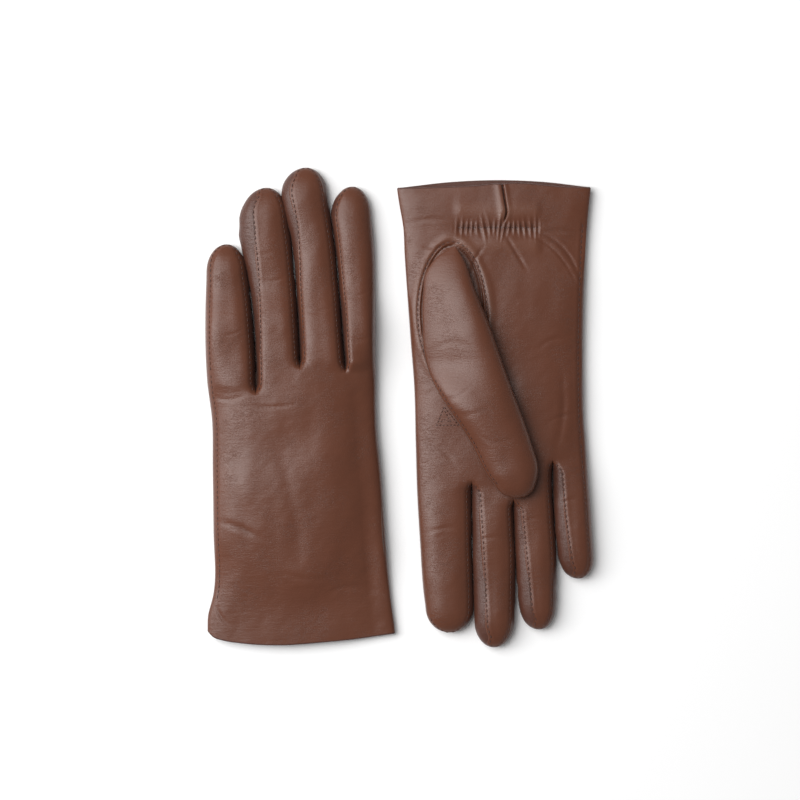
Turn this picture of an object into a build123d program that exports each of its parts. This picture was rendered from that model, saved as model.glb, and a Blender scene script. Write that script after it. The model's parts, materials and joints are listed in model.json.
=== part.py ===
from build123d import *
import math
import os

# A pair of lined dress gloves in soft leather, French size 7, lying side by side.
# The left glove lies on its palm with the fingers towards +Y and the thumb underneath.
# The right glove lies on its back with the fingers towards -Y and the thumb on the palm.
#
# Each glove is drawn in its own frame: u runs across the hand towards the index finger,
# v runs along the hand towards the fingertips, and z is up. The pair's origin is the
# centre of its footprint, on the surface that it lies on. Millimetres.

# ---- driving dimensions --------------------------------------------------------------
GLOVE_OFFSET = 52.0        # from the pair's centre line to each glove's centre line
LEATHER = 0.8              # thickness of the dressed skin
LINING = 0.9               # thickness of the knitted lining
SLACK = 0.9                # space between the skin and the lining
JOINT_GAP = 0.3            # half of the gap between a finger and the hand
SLIT = 0.8                 # width of the slits between the fingers
SEAM_BAND = 2.4            # depth of the strips above and below the side walls
HAND_CORNER = 3.6          # rounding of the hand's cross-section
FINGER_CORNER = 2.6        # rounding of a finger's cross-section
TIP_LENGTH = 11.0          # length of the rounded fingertip
# The fingertip's sections: share of its length, of the half width and of the half height.
TIP_SECTIONS = ((0.62, 0.80, 0.90), (1.0, 0.42, 0.55))

STITCH_WIDTH = 0.45
STITCH_LENGTH = 1.7
STITCH_PITCH = 2.8
STITCH_HEIGHT = 0.3
STITCH_LIFT = 0.04         # clearance under a thread
SEAM_INSET = 2.9           # from a finger's edge to its row of stitches

HEM_DEPTH = 13.0           # depth of the turned hem inside the cuff
HEM = 0.7                  # thickness of the turned hem
HEM_CLEARANCE = 0.05       # between the leather and the hem glued inside it
HEM_TO_LINING = 0.5        # from the end of the hem to the edge of the lining
ELASTIC_LENGTH = 43.0
ELASTIC_WIDTH = 5.0
ELASTIC_THICKNESS = 0.6
ELASTIC_CLEARANCE = 0.1    # between the leather and the elastic
ELASTIC_ROW = 1.3          # from the middle of the elastic to each row of stitches
VENT_LENGTH = 18.0         # slit in the palm side of the cuff
VENT_WIDTH = 0.9
VENT_U = -2.5              # where the slit meets the cuff
PALM_EDGE = 2.6            # how far the palm side stops short of the back at the cuff
ELASTIC_FROM_CUFF = 24.0
HAND_SEAM_INSET = 4.0
HAND_SEAM_START = 18.0     # from the cuff to the first stitch of the outseam
HAND_SEAM_END = 2.0        # from the last stitch to the finger roots
HOLE_SEAM_INSET = 2.2
HOLE_STITCH_CORNERS = 16
REINFORCEMENT = [(28.5, -0.5), (31.9, 9.3), (21.4, 9.3)]   # triangle of stitches
BACK_SLIT_START = {("index", "middle"): 19.0, ("middle", "ring"): 21.0, ("ring", "little"): 8.0}

HAND_END = 31.0            # where the finger roots begin
STUB_OVERLAP = 3.0         # how far a finger root reaches into the hand
HAND_MIDDLE = {"left": 12.0, "right": 6.0}     # height that parts the palm from the back
CUFF_MIDDLE = 5.2          # the same at the cuff

# A section is (v, u_low, u_high, z_low, z_high).
LEFT_HAND = [
    (-124.0, -49.0, 50.0, 0.0, 11.4),
    (-110.0, -47.0, 48.4, 0.6, 13.4),
    (-84.0, -45.8, 45.9, 7.0, 18.0),
    (-32.0, -46.4, 42.0, 7.0, 18.0),
    (0.0, -48.0, 39.6, 7.0, 18.0),
    (HAND_END, -50.0, 39.5, 7.0, 18.0),
]
RIGHT_HAND = [
    (-119.2, -49.0, 54.2, 0.0, 11.0),
    (-96.0, -47.0, 50.2, 0.0, 11.0),
    (-59.0, -45.2, 47.8, 0.0, 12.0),
    (-14.0, -44.5, 44.4, 0.0, 12.0),
    (12.0, -45.0, 43.8, 0.0, 12.0),
    (HAND_END, -47.5, 43.2, 0.0, 12.0),
]

# A finger is its hinge, its two edges at the hinge and before the tip, and its tip.
LEFT_FINGERS = {
    "index": dict(hinge=44.0, root=(21.8, 39.3), end=(17.4, 37.4), tip=116.0),
    "middle": dict(hinge=49.5, root=(-1.0, 21.0), end=(-7.9, 12.4), tip=126.4),
    "ring": dict(hinge=49.5, root=(-24.4, -1.8), end=(-28.8, -9.2), tip=115.6),
    "little": dict(hinge=HAND_END, root=(-50.0, -25.2), end=(-50.2, -29.6), tip=86.0),
}
RIGHT_FINGERS = {
    "index": dict(hinge=44.0, root=(15.0, 43.0), end=(14.4, 37.4), tip=118.6),
    "middle": dict(hinge=49.5, root=(-7.6, 14.2), end=(-8.8, 13.6), tip=126.4),
    "ring": dict(hinge=49.5, root=(-28.6, -8.4), end=(-31.0, -12.2), tip=117.0),
    "little": dict(hinge=HAND_END, root=(-47.4, -29.4), end=(-50.2, -31.8), tip=90.2),
}
FINGER_BASE_HEIGHT = {"left": (7.0, 18.0), "right": (0.0, 12.0)}
FINGER_HEIGHT = {"left": (0.0, 11.4), "right": (0.0, 11.6)}
FINGER_LANDING = 78.0      # where a finger of the left glove comes down to the surface
LANDING_TO_TIP = 12.0      # at least this far before the fingertip

# Thumb sections, with the heights above the surface or the palm that it lies on.
LEFT_THUMB = [
    (-84.0, 16.0, 29.0, 0.0, 5.2),
    (-66.0, 9.0, 38.0, 0.0, 6.2),
    (-38.0, 2.5, 38.5, 0.0, 6.2),
    (-14.0, -5.6, 33.6, 0.0, 6.2),
    (8.0, -14.0, 18.6, 0.0, 6.2),
    (24.0, -18.0, 9.0, 0.0, 6.0),
    (32.0, -17.0, 4.0, 0.0, 5.2),
    (36.0, -12.0, -2.0, 0.0, 4.0),
]
PALM_LEVEL = 12.5          # underside of the right thumb, just above the palm
RIGHT_THUMB = [
    (-84.0, 16.5, 31.0, PALM_LEVEL, PALM_LEVEL + 5.0),
    (-64.0, 9.0, 39.0, PALM_LEVEL, PALM_LEVEL + 9.5),
    (-38.0, 2.5, 40.0, PALM_LEVEL, PALM_LEVEL + 12.5),
    (-10.0, -6.8, 34.0, PALM_LEVEL, PALM_LEVEL + 12.5),
    (8.0, -12.4, 21.6, PALM_LEVEL, PALM_LEVEL + 12.0),
    (32.0, -20.6, 8.0, PALM_LEVEL, PALM_LEVEL + 11.0),
    (42.0, -19.4, 2.4, PALM_LEVEL, PALM_LEVEL + 8.0),
    (47.6, -15.0, -6.0, PALM_LEVEL, PALM_LEVEL + 4.6),
]
THUMB_CORNER = 2.0
THUMB_SLACK = 0.1
THUMB_TOP_OF_BASE = 6.4    # just above the left thumb
THUMB_PIVOT = {"left": (20.0, -38.0), "right": (20.0, -30.0)}
THUMB_SWING_RADIUS = 20.0
THUMB_HOLE = (24.0, -52.0, 10.0, 22.0)     # centre u, centre v, half width, half length
THUMB_LINING = {"left": 0.6, "right": 0.9}
THUMB_HOLE_DEPTH = 3.0     # how far the hole's cut reaches past the base leather

REACH = 400.0              # larger than anything in the pair
MARGIN = 5.0               # how far a cutting shape runs past what it cuts
CUT_DEPTH = 40.0           # height of the cutting shapes for one finger
PALM_DEPTH = 30.0          # height of the cutting shapes over the palm or back


# ---- shared geometry -----------------------------------------------------------------
def section_face(v, low_u, high_u, low_z, high_z, corner):
    width = high_u - low_u
    height = high_z - low_z
    radius = min(corner, 0.45 * height, 0.45 * width)
    centre = ((low_u + high_u) / 2, v, (low_z + high_z) / 2)
    plane = Plane(origin=centre, x_dir=(1, 0, 0), z_dir=(0, 1, 0))
    return plane * RectangleRounded(width, height, radius)


def tube(sections, inset, corner, close_tip=False):
    """A ruled solid through the sections, drawn in by the inset on every side."""
    faces = []
    last = len(sections) - 1
    for number, (v, low_u, high_u, low_z, high_z) in enumerate(sections):
        place = v - inset if close_tip and number == last else v
        radius = max(corner - inset, 0.5)
        faces.append(section_face(place, low_u + inset, high_u - inset,
                                  low_z + inset, high_z - inset, radius))
    return loft(faces, ruled=True)


def stretched(sections, first=0.0, last=0.0):
    """The same sections with the two ends pushed outwards."""
    longer = list(sections)
    longer[0] = (longer[0][0] - first, *longer[0][1:])
    longer[-1] = (longer[-1][0] + last, *longer[-1][1:])
    return longer


def between(sections, v):
    """The section at v, by straight interpolation."""
    for near, far in zip(sections, sections[1:]):
        if near[0] <= v <= far[0]:
            part = (v - near[0]) / (far[0] - near[0])
            return tuple(a + part * (b - a) for a, b in zip(near, far))
    return sections[0] if v < sections[0][0] else sections[-1]


def slab(low, high):
    """A box from its lowest to its highest corner."""
    size = [b - a for a, b in zip(low, high)]
    centre = [(a + b) / 2 for a, b in zip(low, high)]
    return Pos(*centre) * Box(*size)


def group(solids):
    return Compound(children=list(solids))


def solids_of(*shapes):
    return [solid for shape in shapes for solid in shape.solids()]


def place(side, shape):
    """From a glove's own frame to the pair's frame."""
    if side == "left":
        return Pos(-GLOVE_OFFSET, 0, 0) * shape
    return Pos(GLOVE_OFFSET, 0, 0) * Rot(0, 0, 180) * shape


def save(side, name, shape):
    export_step(place(side, shape), f"parts/{side}_{name}.step")


def stitch_row(points, under=False):
    """Threads laid end to end along a path of (u, v, z) points, over or under a face."""
    threads = []
    lift = STITCH_LIFT + STITCH_HEIGHT / 2
    if under:
        lift = -lift
    for start, end in zip(points, points[1:]):
        run = Vector(*end) - Vector(*start)
        count = max(1, round(run.length / STITCH_PITCH))
        turn = math.degrees(math.atan2(run.Y, run.X))
        pitch = -math.degrees(math.asin(run.Z / run.length))
        for number in range(count):
            middle = Vector(*start) + run * ((number + 0.5) / count)
            spot = Pos(middle.X, middle.Y, middle.Z + lift) * Rot(0, 0, turn) * Rot(0, pitch, 0)
            threads.append(spot * Box(STITCH_LENGTH, STITCH_WIDTH, STITCH_HEIGHT))
    return threads


# ---- fingers -------------------------------------------------------------------------
def finger_sections(side, finger):
    """From the hinge to the tip, the last three rounding off the fingertip."""
    low, high = FINGER_HEIGHT[side]
    base_low, base_high = FINGER_BASE_HEIGHT[side]
    start = finger["hinge"] + JOINT_GAP
    shoulder = finger["tip"] - TIP_LENGTH
    root_low, root_high = finger["root"]
    end_low, end_high = finger["end"]
    landing = min(FINGER_LANDING, shoulder - LANDING_TO_TIP)
    part = (landing - start) / (shoulder - start)
    land_low = root_low + part * (end_low - root_low)
    land_high = root_high + part * (end_high - root_high)
    centre = (end_low + end_high) / 2
    half = (end_high - end_low) / 2
    middle = (low + high) / 2
    thick = (high - low) / 2
    rows = [
        (start, root_low, root_high, base_low, base_high),
        (landing, land_low, land_high, low, high),
        (shoulder, end_low, end_high, low, high),
    ]
    for along, across, tall in TIP_SECTIONS:
        rows.append((shoulder + along * TIP_LENGTH, centre - across * half, centre + across * half,
                     middle - tall * thick, middle + tall * thick))
    return rows


def seam_points(sections, low_edge):
    """The row of stitches along one edge of the upper face, up to the fingertip."""
    points = []
    for v, low_u, high_u, low_z, high_z in sections[:3]:
        edge = low_u + SEAM_INSET if low_edge else high_u - SEAM_INSET
        points.append((edge, v, high_z))
    return points


def make_finger(side, name, finger):
    sections = finger_sections(side, finger)
    skin = tube(sections, 0, FINGER_CORNER) - tube(stretched(sections, first=1), LEATHER,
                                                   FINGER_CORNER, close_tip=True)
    low_z = min(row[3] for row in sections)
    top_cut = [(row[0], row[4] - SEAM_BAND) for row in sections[:3]]
    low_cut = [(row[0], row[3] + SEAM_BAND) for row in sections[:3]]
    far_v = finger["tip"] + MARGIN
    near_v = finger["hinge"] - MARGIN
    outline = [(near_v, low_cut[0][1]), *low_cut, (far_v, low_cut[-1][1]),
               (far_v, top_cut[-1][1]), *reversed(top_cut), (near_v, top_cut[0][1])]
    side_plane = Plane(origin=(-REACH / 2, 0, 0), x_dir=(0, 1, 0), z_dir=(1, 0, 0))
    band = extrude(side_plane * make_face(Polyline(*outline, close=True)), REACH)
    # The line that parts the two side walls runs along the middle of the finger.
    root_mid = sum(finger["root"]) / 2
    end_mid = sum(finger["end"]) / 2
    slope = (end_mid - root_mid) / (finger["tip"] - TIP_LENGTH - finger["hinge"])
    near_mid = root_mid - MARGIN * slope
    far_mid = root_mid + slope * (far_v - finger["hinge"])
    high_half = make_face(Polyline((near_mid, near_v), (far_mid, far_v),
                                   (far_mid + CUT_DEPTH, far_v), (near_mid + CUT_DEPTH, near_v),
                                   close=True))
    high_half = Pos(0, 0, low_z - MARGIN) * extrude(high_half, CUT_DEPTH)
    walls = skin & band
    high_wall = walls & high_half
    low_wall = walls - high_half
    if name == "index":
        save(side, "index_leather", skin - low_wall)
        save(side, "index_fourchette", low_wall)
    elif name == "little":
        save(side, "little_leather", skin - high_wall)
        save(side, "little_fourchette", high_wall)
    else:
        save(side, f"{name}_leather", group(solids_of(skin - band)))
        save(side, f"{name}_fourchette_index_side", high_wall)
        save(side, f"{name}_fourchette_little_side", low_wall)
    outer = LEATHER + SLACK
    lining = tube(sections, outer, FINGER_CORNER, close_tip=True)
    lining -= tube(stretched(sections, first=1), outer + LINING, FINGER_CORNER, close_tip=True)
    save(side, f"{name}_lining", lining)
    threads = stitch_row(seam_points(sections, True)) + stitch_row(seam_points(sections, False))
    save(side, f"{name}_stitches", group(threads))


# ---- hand ----------------------------------------------------------------------------
def root_sections(side, finger):
    base_low, base_high = FINGER_BASE_HEIGHT[side]
    low_u, high_u = finger["root"]
    return [
        (HAND_END - STUB_OVERLAP, low_u, high_u, base_low, base_high),
        (finger["hinge"] - JOINT_GAP, low_u, high_u, base_low, base_high),
    ]


def hand_solid(side, sections, fingers, inset, beyond=0.0):
    """The hand with its finger roots, drawn in by the inset and run on past both ends."""
    end_v = HAND_END - JOINT_GAP
    body = [*sections[:-1], (end_v, *sections[-1][1:])]
    solid = tube(stretched(body, first=beyond), inset, HAND_CORNER)
    for name, finger in fingers.items():
        if name != "little":
            root = stretched(root_sections(side, finger), last=beyond)
            solid += tube(root, inset, FINGER_CORNER)
    return solid


def layer(side, sections, fingers, inset, thickness):
    outer = hand_solid(side, sections, fingers, inset)
    return outer - hand_solid(side, sections, fingers, inset + thickness, beyond=1.0)


def band(sections, inset, thickness, low_v, high_v):
    """A strip that lies all round the inside of the hand from low_v to high_v."""
    rows = stretched(sections, first=1)
    ring = tube(rows, inset, HAND_CORNER) - tube(rows, inset + thickness, HAND_CORNER)
    return ring & slab((-REACH, low_v, -REACH), (REACH, high_v, REACH))


def palm_slab(side, low, high, middle_z):
    """A box over a stretch of the palm, from the middle of the hand outwards."""
    if side == "left":
        return slab((low[0], low[1], middle_z - PALM_DEPTH), (high[0], high[1], middle_z))
    return slab((low[0], low[1], middle_z), (high[0], high[1], middle_z + PALM_DEPTH))


def back_slab(side, low, high, middle_z):
    other = "right" if side == "left" else "left"
    return palm_slab(other, low, high, middle_z)


def thumb_hole(side):
    centre_u, centre_v, half_width, half_length = THUMB_HOLE
    shape = Pos(centre_u, centre_v, 0) * Ellipse(half_width, half_length)
    middle_z = HAND_MIDDLE[side]
    if side == "left":
        return extrude(Pos(0, 0, THUMB_TOP_OF_BASE) * shape, middle_z - THUMB_TOP_OF_BASE)
    return extrude(Pos(0, 0, middle_z) * shape, PALM_LEVEL + THUMB_HOLE_DEPTH - middle_z)


def back_slits(side, fingers):
    """The slits on the back, which run further down than those on the palm."""
    names = ["index", "middle", "ring", "little"]
    slits = []
    for higher, lower in zip(names, names[1:]):
        centre = (fingers[higher]["root"][0] + fingers[lower]["root"][1]) / 2
        start = BACK_SLIT_START[(higher, lower)]
        low = (centre - SLIT / 2, start)
        high = (centre + SLIT / 2, fingers[higher]["hinge"])
        slits.append(back_slab(side, low, high, HAND_MIDDLE[side]))
    return slits


def make_hand(side, sections, fingers):
    cuff_v = sections[0][0]
    skin = layer(side, sections, fingers, 0, LEATHER) - thumb_hole(side)
    for slit in back_slits(side, fingers):
        skin -= slit
    vent = palm_slab(side, (VENT_U - VENT_WIDTH / 2, cuff_v - 1),
                     (VENT_U + VENT_WIDTH / 2, cuff_v + VENT_LENGTH), CUFF_MIDDLE)
    short_palm = palm_slab(side, (-REACH / 2, cuff_v - 1), (REACH / 2, cuff_v + PALM_EDGE),
                           CUFF_MIDDLE)
    save(side, "hand_leather", skin - vent - short_palm)
    hem = band(sections, LEATHER + HEM_CLEARANCE, HEM, cuff_v, cuff_v + HEM_DEPTH)
    save(side, "cuff_hem", hem - vent - short_palm)

    outer = LEATHER + SLACK
    lining = layer(side, sections, fingers, outer, LINING) - thumb_hole(side)
    lining -= slab((-REACH / 2, cuff_v - MARGIN, -MARGIN),
                   (REACH / 2, cuff_v + HEM_DEPTH + HEM_TO_LINING, CUT_DEPTH))
    save(side, "hand_lining", lining)

    elastic_v = cuff_v + ELASTIC_FROM_CUFF
    strip = band(sections, LEATHER + ELASTIC_CLEARANCE, ELASTIC_THICKNESS,
                 elastic_v - ELASTIC_WIDTH / 2, elastic_v + ELASTIC_WIDTH / 2)
    half = ELASTIC_LENGTH / 2
    strip &= palm_slab(side, (-half, elastic_v - ELASTIC_WIDTH), (half, elastic_v + ELASTIC_WIDTH),
                       CUFF_MIDDLE)
    save(side, "wrist_elastic", strip)
    palm = 3 if side == "left" else 4
    rows = []
    for offset in (-ELASTIC_ROW, ELASTIC_ROW):
        height = between(sections, elastic_v + offset)[palm]
        rows += stitch_row([(-half, elastic_v + offset, height), (half, elastic_v + offset, height)],
                           under=side == "left")
    save(side, "elastic_stitches", group(rows))

    seam = [(row[1] + HAND_SEAM_INSET, row[0], row[4])
            for row in (between(sections, cuff_v + HAND_SEAM_START), *sections[2:-1])]
    last_row = between(sections, HAND_END - HAND_SEAM_END)
    seam.append((last_row[1] + HAND_SEAM_INSET, last_row[0], last_row[4]))
    save(side, "outseam_stitches", group(stitch_row(seam)))

    centre_u, centre_v, half_width, half_length = THUMB_HOLE
    palm_z = sections[3][palm]
    corners = []
    for number in range(HOLE_STITCH_CORNERS + 1):
        turn = 2 * math.pi * number / HOLE_STITCH_CORNERS
        corners.append((centre_u + (half_width + HOLE_SEAM_INSET) * math.cos(turn),
                        centre_v + (half_length + HOLE_SEAM_INSET) * math.sin(turn), palm_z))
    rows = stitch_row(corners, under=side == "left")
    triangle = [(u, v, palm_z) for u, v in (*REINFORCEMENT, REINFORCEMENT[0])]
    rows += stitch_row(triangle, under=side == "left")
    save(side, "thumb_hole_stitches", group(rows))


# ---- thumb ---------------------------------------------------------------------------
def thumb_layer(sections, inset, thickness):
    def closed(amount):
        rows = [(sections[0][0] + amount, *sections[0][1:]), *sections[1:]]
        return tube(rows, amount, THUMB_CORNER, close_tip=True)
    return closed(inset) - closed(inset + thickness)


def thumb_regions(side):
    """The space of the sewn base and the space of the part that moves."""
    pivot_u, pivot_v = THUMB_PIVOT[side]
    half = REACH / 2
    far = slab((-half, pivot_v + JOINT_GAP, -MARGIN), (half, half, CUT_DEPTH))
    near = slab((-half, -half, -MARGIN), (half, pivot_v - JOINT_GAP, CUT_DEPTH))
    if side == "left":
        disc = Pos(pivot_u, pivot_v, 0) * Cylinder(THUMB_SWING_RADIUS, CUT_DEPTH)
        wide = Pos(pivot_u, pivot_v, 0) * Cylinder(THUMB_SWING_RADIUS + 2 * JOINT_GAP, CUT_DEPTH)
        return near - wide, far + disc
    return near, far


def make_thumb(side, sections):
    base_space, moving_space = thumb_regions(side)
    skin = thumb_layer(sections, 0, LEATHER)
    save(side, "thumb_leather", skin & moving_space)
    save(side, "thumb_base_leather", (skin & base_space) - thumb_hole_in_base(side))
    lining = thumb_layer(sections, LEATHER + THUMB_SLACK, THUMB_LINING[side])
    save(side, "thumb_lining", lining & moving_space)
    seam = [(row[2] - SEAM_INSET, row[0], row[4]) for row in sections[3:-1]]
    save(side, "thumb_stitches", group(stitch_row(seam)))


def thumb_hole_in_base(side):
    centre_u, centre_v, half_width, half_length = THUMB_HOLE
    shape = Pos(centre_u, centre_v, 0) * Ellipse(half_width, half_length)
    if side == "left":
        middle_z = THUMB_TOP_OF_BASE / 2
        return extrude(Pos(0, 0, middle_z) * shape, THUMB_TOP_OF_BASE)
    return extrude(Pos(0, 0, PALM_LEVEL - 1) * shape, THUMB_HOLE_DEPTH)


# ---- both gloves ---------------------------------------------------------------------
def make_glove(side, hand, fingers, thumb):
    make_hand(side, hand, fingers)
    make_thumb(side, thumb)
    for name, finger in fingers.items():
        make_finger(side, name, finger)


os.makedirs("parts", exist_ok=True)
make_glove("left", LEFT_HAND, LEFT_FINGERS, LEFT_THUMB)
make_glove("right", RIGHT_HAND, RIGHT_FINGERS, RIGHT_THUMB)
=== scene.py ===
# %% [markdown]
# A pair of leather gloves. The imported model is the frame: it says where each hand, finger and
# thumb is and how it moves. Every piece made here is a softer, finer skin that takes the place
# of a plain solid of that frame. The pieces of the hands, and the linings and seams of the thumbs,
# ride on the same body as the solid they replace; the finger pieces and the thumb skins are not
# attached to a body.

# %% Load the frame
import json
import math

import bpy
import numpy as np
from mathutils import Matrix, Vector


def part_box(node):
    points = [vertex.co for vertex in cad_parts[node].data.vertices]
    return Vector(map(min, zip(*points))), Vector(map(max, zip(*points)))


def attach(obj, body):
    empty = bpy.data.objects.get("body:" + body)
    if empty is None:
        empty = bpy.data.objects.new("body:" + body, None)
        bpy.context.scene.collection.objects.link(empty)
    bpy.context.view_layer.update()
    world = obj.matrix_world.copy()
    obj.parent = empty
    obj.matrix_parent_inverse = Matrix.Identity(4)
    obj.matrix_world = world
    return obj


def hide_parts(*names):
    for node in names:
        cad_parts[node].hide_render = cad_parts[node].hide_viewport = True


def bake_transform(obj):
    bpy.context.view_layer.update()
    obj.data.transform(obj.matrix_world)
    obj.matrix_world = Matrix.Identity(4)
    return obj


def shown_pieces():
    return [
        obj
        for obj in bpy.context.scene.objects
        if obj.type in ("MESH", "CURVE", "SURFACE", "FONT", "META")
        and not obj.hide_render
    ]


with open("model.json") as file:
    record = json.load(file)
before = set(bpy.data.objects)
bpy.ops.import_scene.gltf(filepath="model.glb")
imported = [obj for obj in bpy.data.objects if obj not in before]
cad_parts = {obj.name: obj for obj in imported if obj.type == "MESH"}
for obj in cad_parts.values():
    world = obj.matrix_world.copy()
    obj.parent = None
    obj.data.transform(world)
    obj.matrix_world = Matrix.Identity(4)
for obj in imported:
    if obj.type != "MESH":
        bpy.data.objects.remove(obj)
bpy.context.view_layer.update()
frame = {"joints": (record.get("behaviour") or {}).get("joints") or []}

# %% [markdown]
# Each glove is drawn in its own flat frame, in millimetres: u runs across the hand towards the
# index finger, v runs along it towards the fingertips, and z is up. The left glove only has to
# be shifted to its place. The right one is also turned half round, and because it lies palm up
# its index finger is on the same side of this flat frame as the left one's.

# %% From a glove's millimetres to the frame's metres
MM = 0.001
GLOVE_SHIFT = 52.0


def to_frame(side, points):
    out = np.array(points, float)
    if side == "left":
        out[..., 0] -= GLOVE_SHIFT
    else:
        out[..., 0] = GLOVE_SHIFT - out[..., 0]
        out[..., 1] *= -1
    return out * MM


for side in ("left", "right"):
    low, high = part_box(f"{side}_hand_leather")
    print(side, "hand solid in mm:", [round(value / MM, 1) for value in (*low, *high)])

# %% [markdown]
# The outline of a glove is a few points along each edge, joined by a smooth line. A cubic that
# passes through every point, with its slope at a point taken from the two beside it, gives the
# relaxed edge of soft leather without any corner.

# %% Smooth lines and soft steps
def line(points, v):
    """A smooth line through (v, value) points, level beyond its ends."""
    knots = np.array(points, float)
    at, value = knots[:, 0], knots[:, 1]
    slope = np.gradient(value, at)
    v = np.clip(np.asarray(v, float), at[0], at[-1])
    spot = np.clip(np.searchsorted(at, v) - 1, 0, len(at) - 2)
    gap = at[spot + 1] - at[spot]
    t = (v - at[spot]) / gap
    return ((2 * t**3 - 3 * t**2 + 1) * value[spot] + (t**3 - 2 * t**2 + t) * gap * slope[spot]
            + (3 * t**2 - 2 * t**3) * value[spot + 1] + (t**3 - t**2) * gap * slope[spot + 1])


def step(value, start, end):
    """0 before start, 1 after end, and smooth in between."""
    t = np.clip((np.asarray(value, float) - start) / (end - start), 0, 1)
    return t * t * (3 - 2 * t)


def bump(value, centre, width):
    """A soft round bump, 1 at its centre."""
    return np.exp(-((np.asarray(value, float) - centre) / width) ** 2)


def profile(across, folds):
    """The height across a row of folds: (height, place, width) of each."""
    return sum(height * bump(across, place, width) for height, place, width in folds)


print("half way up a soft step:", float(step(0.5, 0, 1)))

# %% [markdown]
# The size of the pair. Fingers are listed from the little finger to the index finger, because
# that is the order of u. For each finger: points (v, low edge, high edge) up to the shoulder
# where the tip starts to round off, and the v of the tip. A slit between two fingers starts
# further down on the back of a hand than on its palm, so the two faces have their own slits.

# %% Outlines
FINGERS = ("little", "ring", "middle", "index")
GLOVES = {
    "left": dict(
        cuff=-123.0,
        low_edge=[(-125, -49.2), (-111, -48.8), (-97, -45.9), (-64, -46), (-32, -46.4),
                  (-5, -46.9), (9, -48.7), (20, -49.6)],
        high_edge=[(-125, 50), (-112, 48.6), (-95, 46.8), (-64, 44.3), (-32, 42.1), (-11, 40),
                   (25, 39.5)],
        top_slits=(7.6, 21.0, 19.0),
        under_slits=(28.4, 48.4, 39.4),
        fingers={
            "little": dict(tip=86.0, lean=0.4, edges=[(8, -48.9, -23.3), (25, -50, -23.7),
                                                      (50, -50.3, -25.5), (70, -49.8, -28.0)]),
            "ring": dict(tip=115.8, lean=2.2, edges=[(8, -23.3, -0.1), (25, -23.6, -0.2),
                                                     (62, -26.8, -2.6), (80, -30.6, -4.3),
                                                     (90, -32.4, -5.4), (97, -32.4, -6.4)]),
            "middle": dict(tip=126.4, lean=2.4, edges=[(20, -0.1, 23.7), (62, -2.5, 20.2),
                                                       (90, -5.5, 17.4), (104, -9.2, 15.2),
                                                       (110, -10.3, 14.4)]),
            "index": dict(tip=116.4, lean=1.8, edges=[(19, 23.7, 39.5), (62, 20.3, 39.2),
                                                      (88, 17.6, 38.4), (100, 16.0, 37.2)]),
        }),
    "right": dict(
        cuff=-116.4,
        low_edge=[(-120, -49.4), (-102, -47.5), (-88, -46.4), (-66, -45.4), (-14, -44.6),
                  (10, -45.2), (30, -46.6)],
        high_edge=[(-120, 54.1), (-107, 52.1), (-95, 50), (-81, 49.3), (-59, 47.8), (-33, 45.9),
                   (-14, 44.4), (29, 43.3)],
        top_slits=(28.4, 48.4, 39.4),
        under_slits=(8.0, 21.0, 19.0),
        fingers={
            "little": dict(tip=90.2, lean=-0.6, edges=[(8, -45.2, -28.5), (30, -46.8, -28.7),
                                                       (57, -48.9, -29.3), (77, -50.2, -31.3)]),
            "ring": dict(tip=117.0, lean=-0.4, edges=[(8, -28.5, -7.8), (45, -28.7, -7.8),
                                                      (83, -30.9, -9.2), (103, -30.6, -10.8)]),
            "middle": dict(tip=126.4, lean=0.4, edges=[(20, -7.8, 14.1), (48, -7.8, 13.9),
                                                       (80, -9.2, 13.6), (111, -8.8, 12.6)]),
            "index": dict(tip=118.6, lean=0.6, edges=[(19, 14.1, 43.4), (44, 14, 42.7),
                                                      (70, 13.8, 41.2), (98, 13, 39.2),
                                                      (105, 12.9, 38.3)]),
        }),
}
print("fingers of each glove:", ", ".join(FINGERS))

# %% [markdown]
# Every later step asks for the same thing: the two edges of a finger's column at some v. Above
# its slits a column is the finger, and below them it is a share of the hand, so that the four
# columns together make one skin without a gap. A finger's edges close in round its tip.

# %% Edges of the fingers and the hand
# Where the outer edge of the hand becomes the little finger's and the index finger's.
LITTLE_ROOT = (6, 14)
INDEX_ROOT = (12, 25)
# How much of its lean a finger keeps beyond the shoulder, and the power that rounds its tip.
KEPT_LEAN = 0.7
TIP_ROUNDNESS = 2.15


def hand_edges(side, v):
    glove = GLOVES[side]
    return line(glove["low_edge"], v), line(glove["high_edge"], v)


def finger_edges(side, number, v):
    """Both edges of a finger, which close in on its middle line beyond the shoulder."""
    finger = GLOVES[side]["fingers"][FINGERS[number]]
    rows = finger["edges"]
    low = line([(row[0], row[1]) for row in rows], v)
    high = line([(row[0], row[2]) for row in rows], v)
    shoulder = rows[-1][0]
    beyond = np.clip((v - shoulder) / (finger["tip"] - shoulder), 0, 1)
    before, last = rows[-2:]
    lean = (last[1] + last[2] - before[1] - before[2]) / 2 / (last[0] - before[0])
    middle = (low + high) / 2 + KEPT_LEAN * lean * np.maximum(v - shoulder, 0)
    middle = middle + finger["lean"] * beyond**1.6
    half = (high - low) / 2 * np.sqrt(np.clip(1 - beyond**TIP_ROUNDNESS, 0, 1))
    return middle - half, middle + half


def slit_at(side, face, number):
    """Where the slit above finger number starts, on the top or under face."""
    return GLOVES[side][f"{face}_slits"][number]


def slit_line(side, face, number, v):
    """The line that goes on below a slit, to the cuff."""
    start = slit_at(side, face, number)
    at = np.minimum(v, start)
    low, high = hand_edges(side, at)
    first, last = hand_edges(side, start)
    seam = (finger_edges(side, number, start)[1] + finger_edges(side, number + 1, start)[0]) / 2
    return low + (seam - first) / (last - first) * (high - low)


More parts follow.
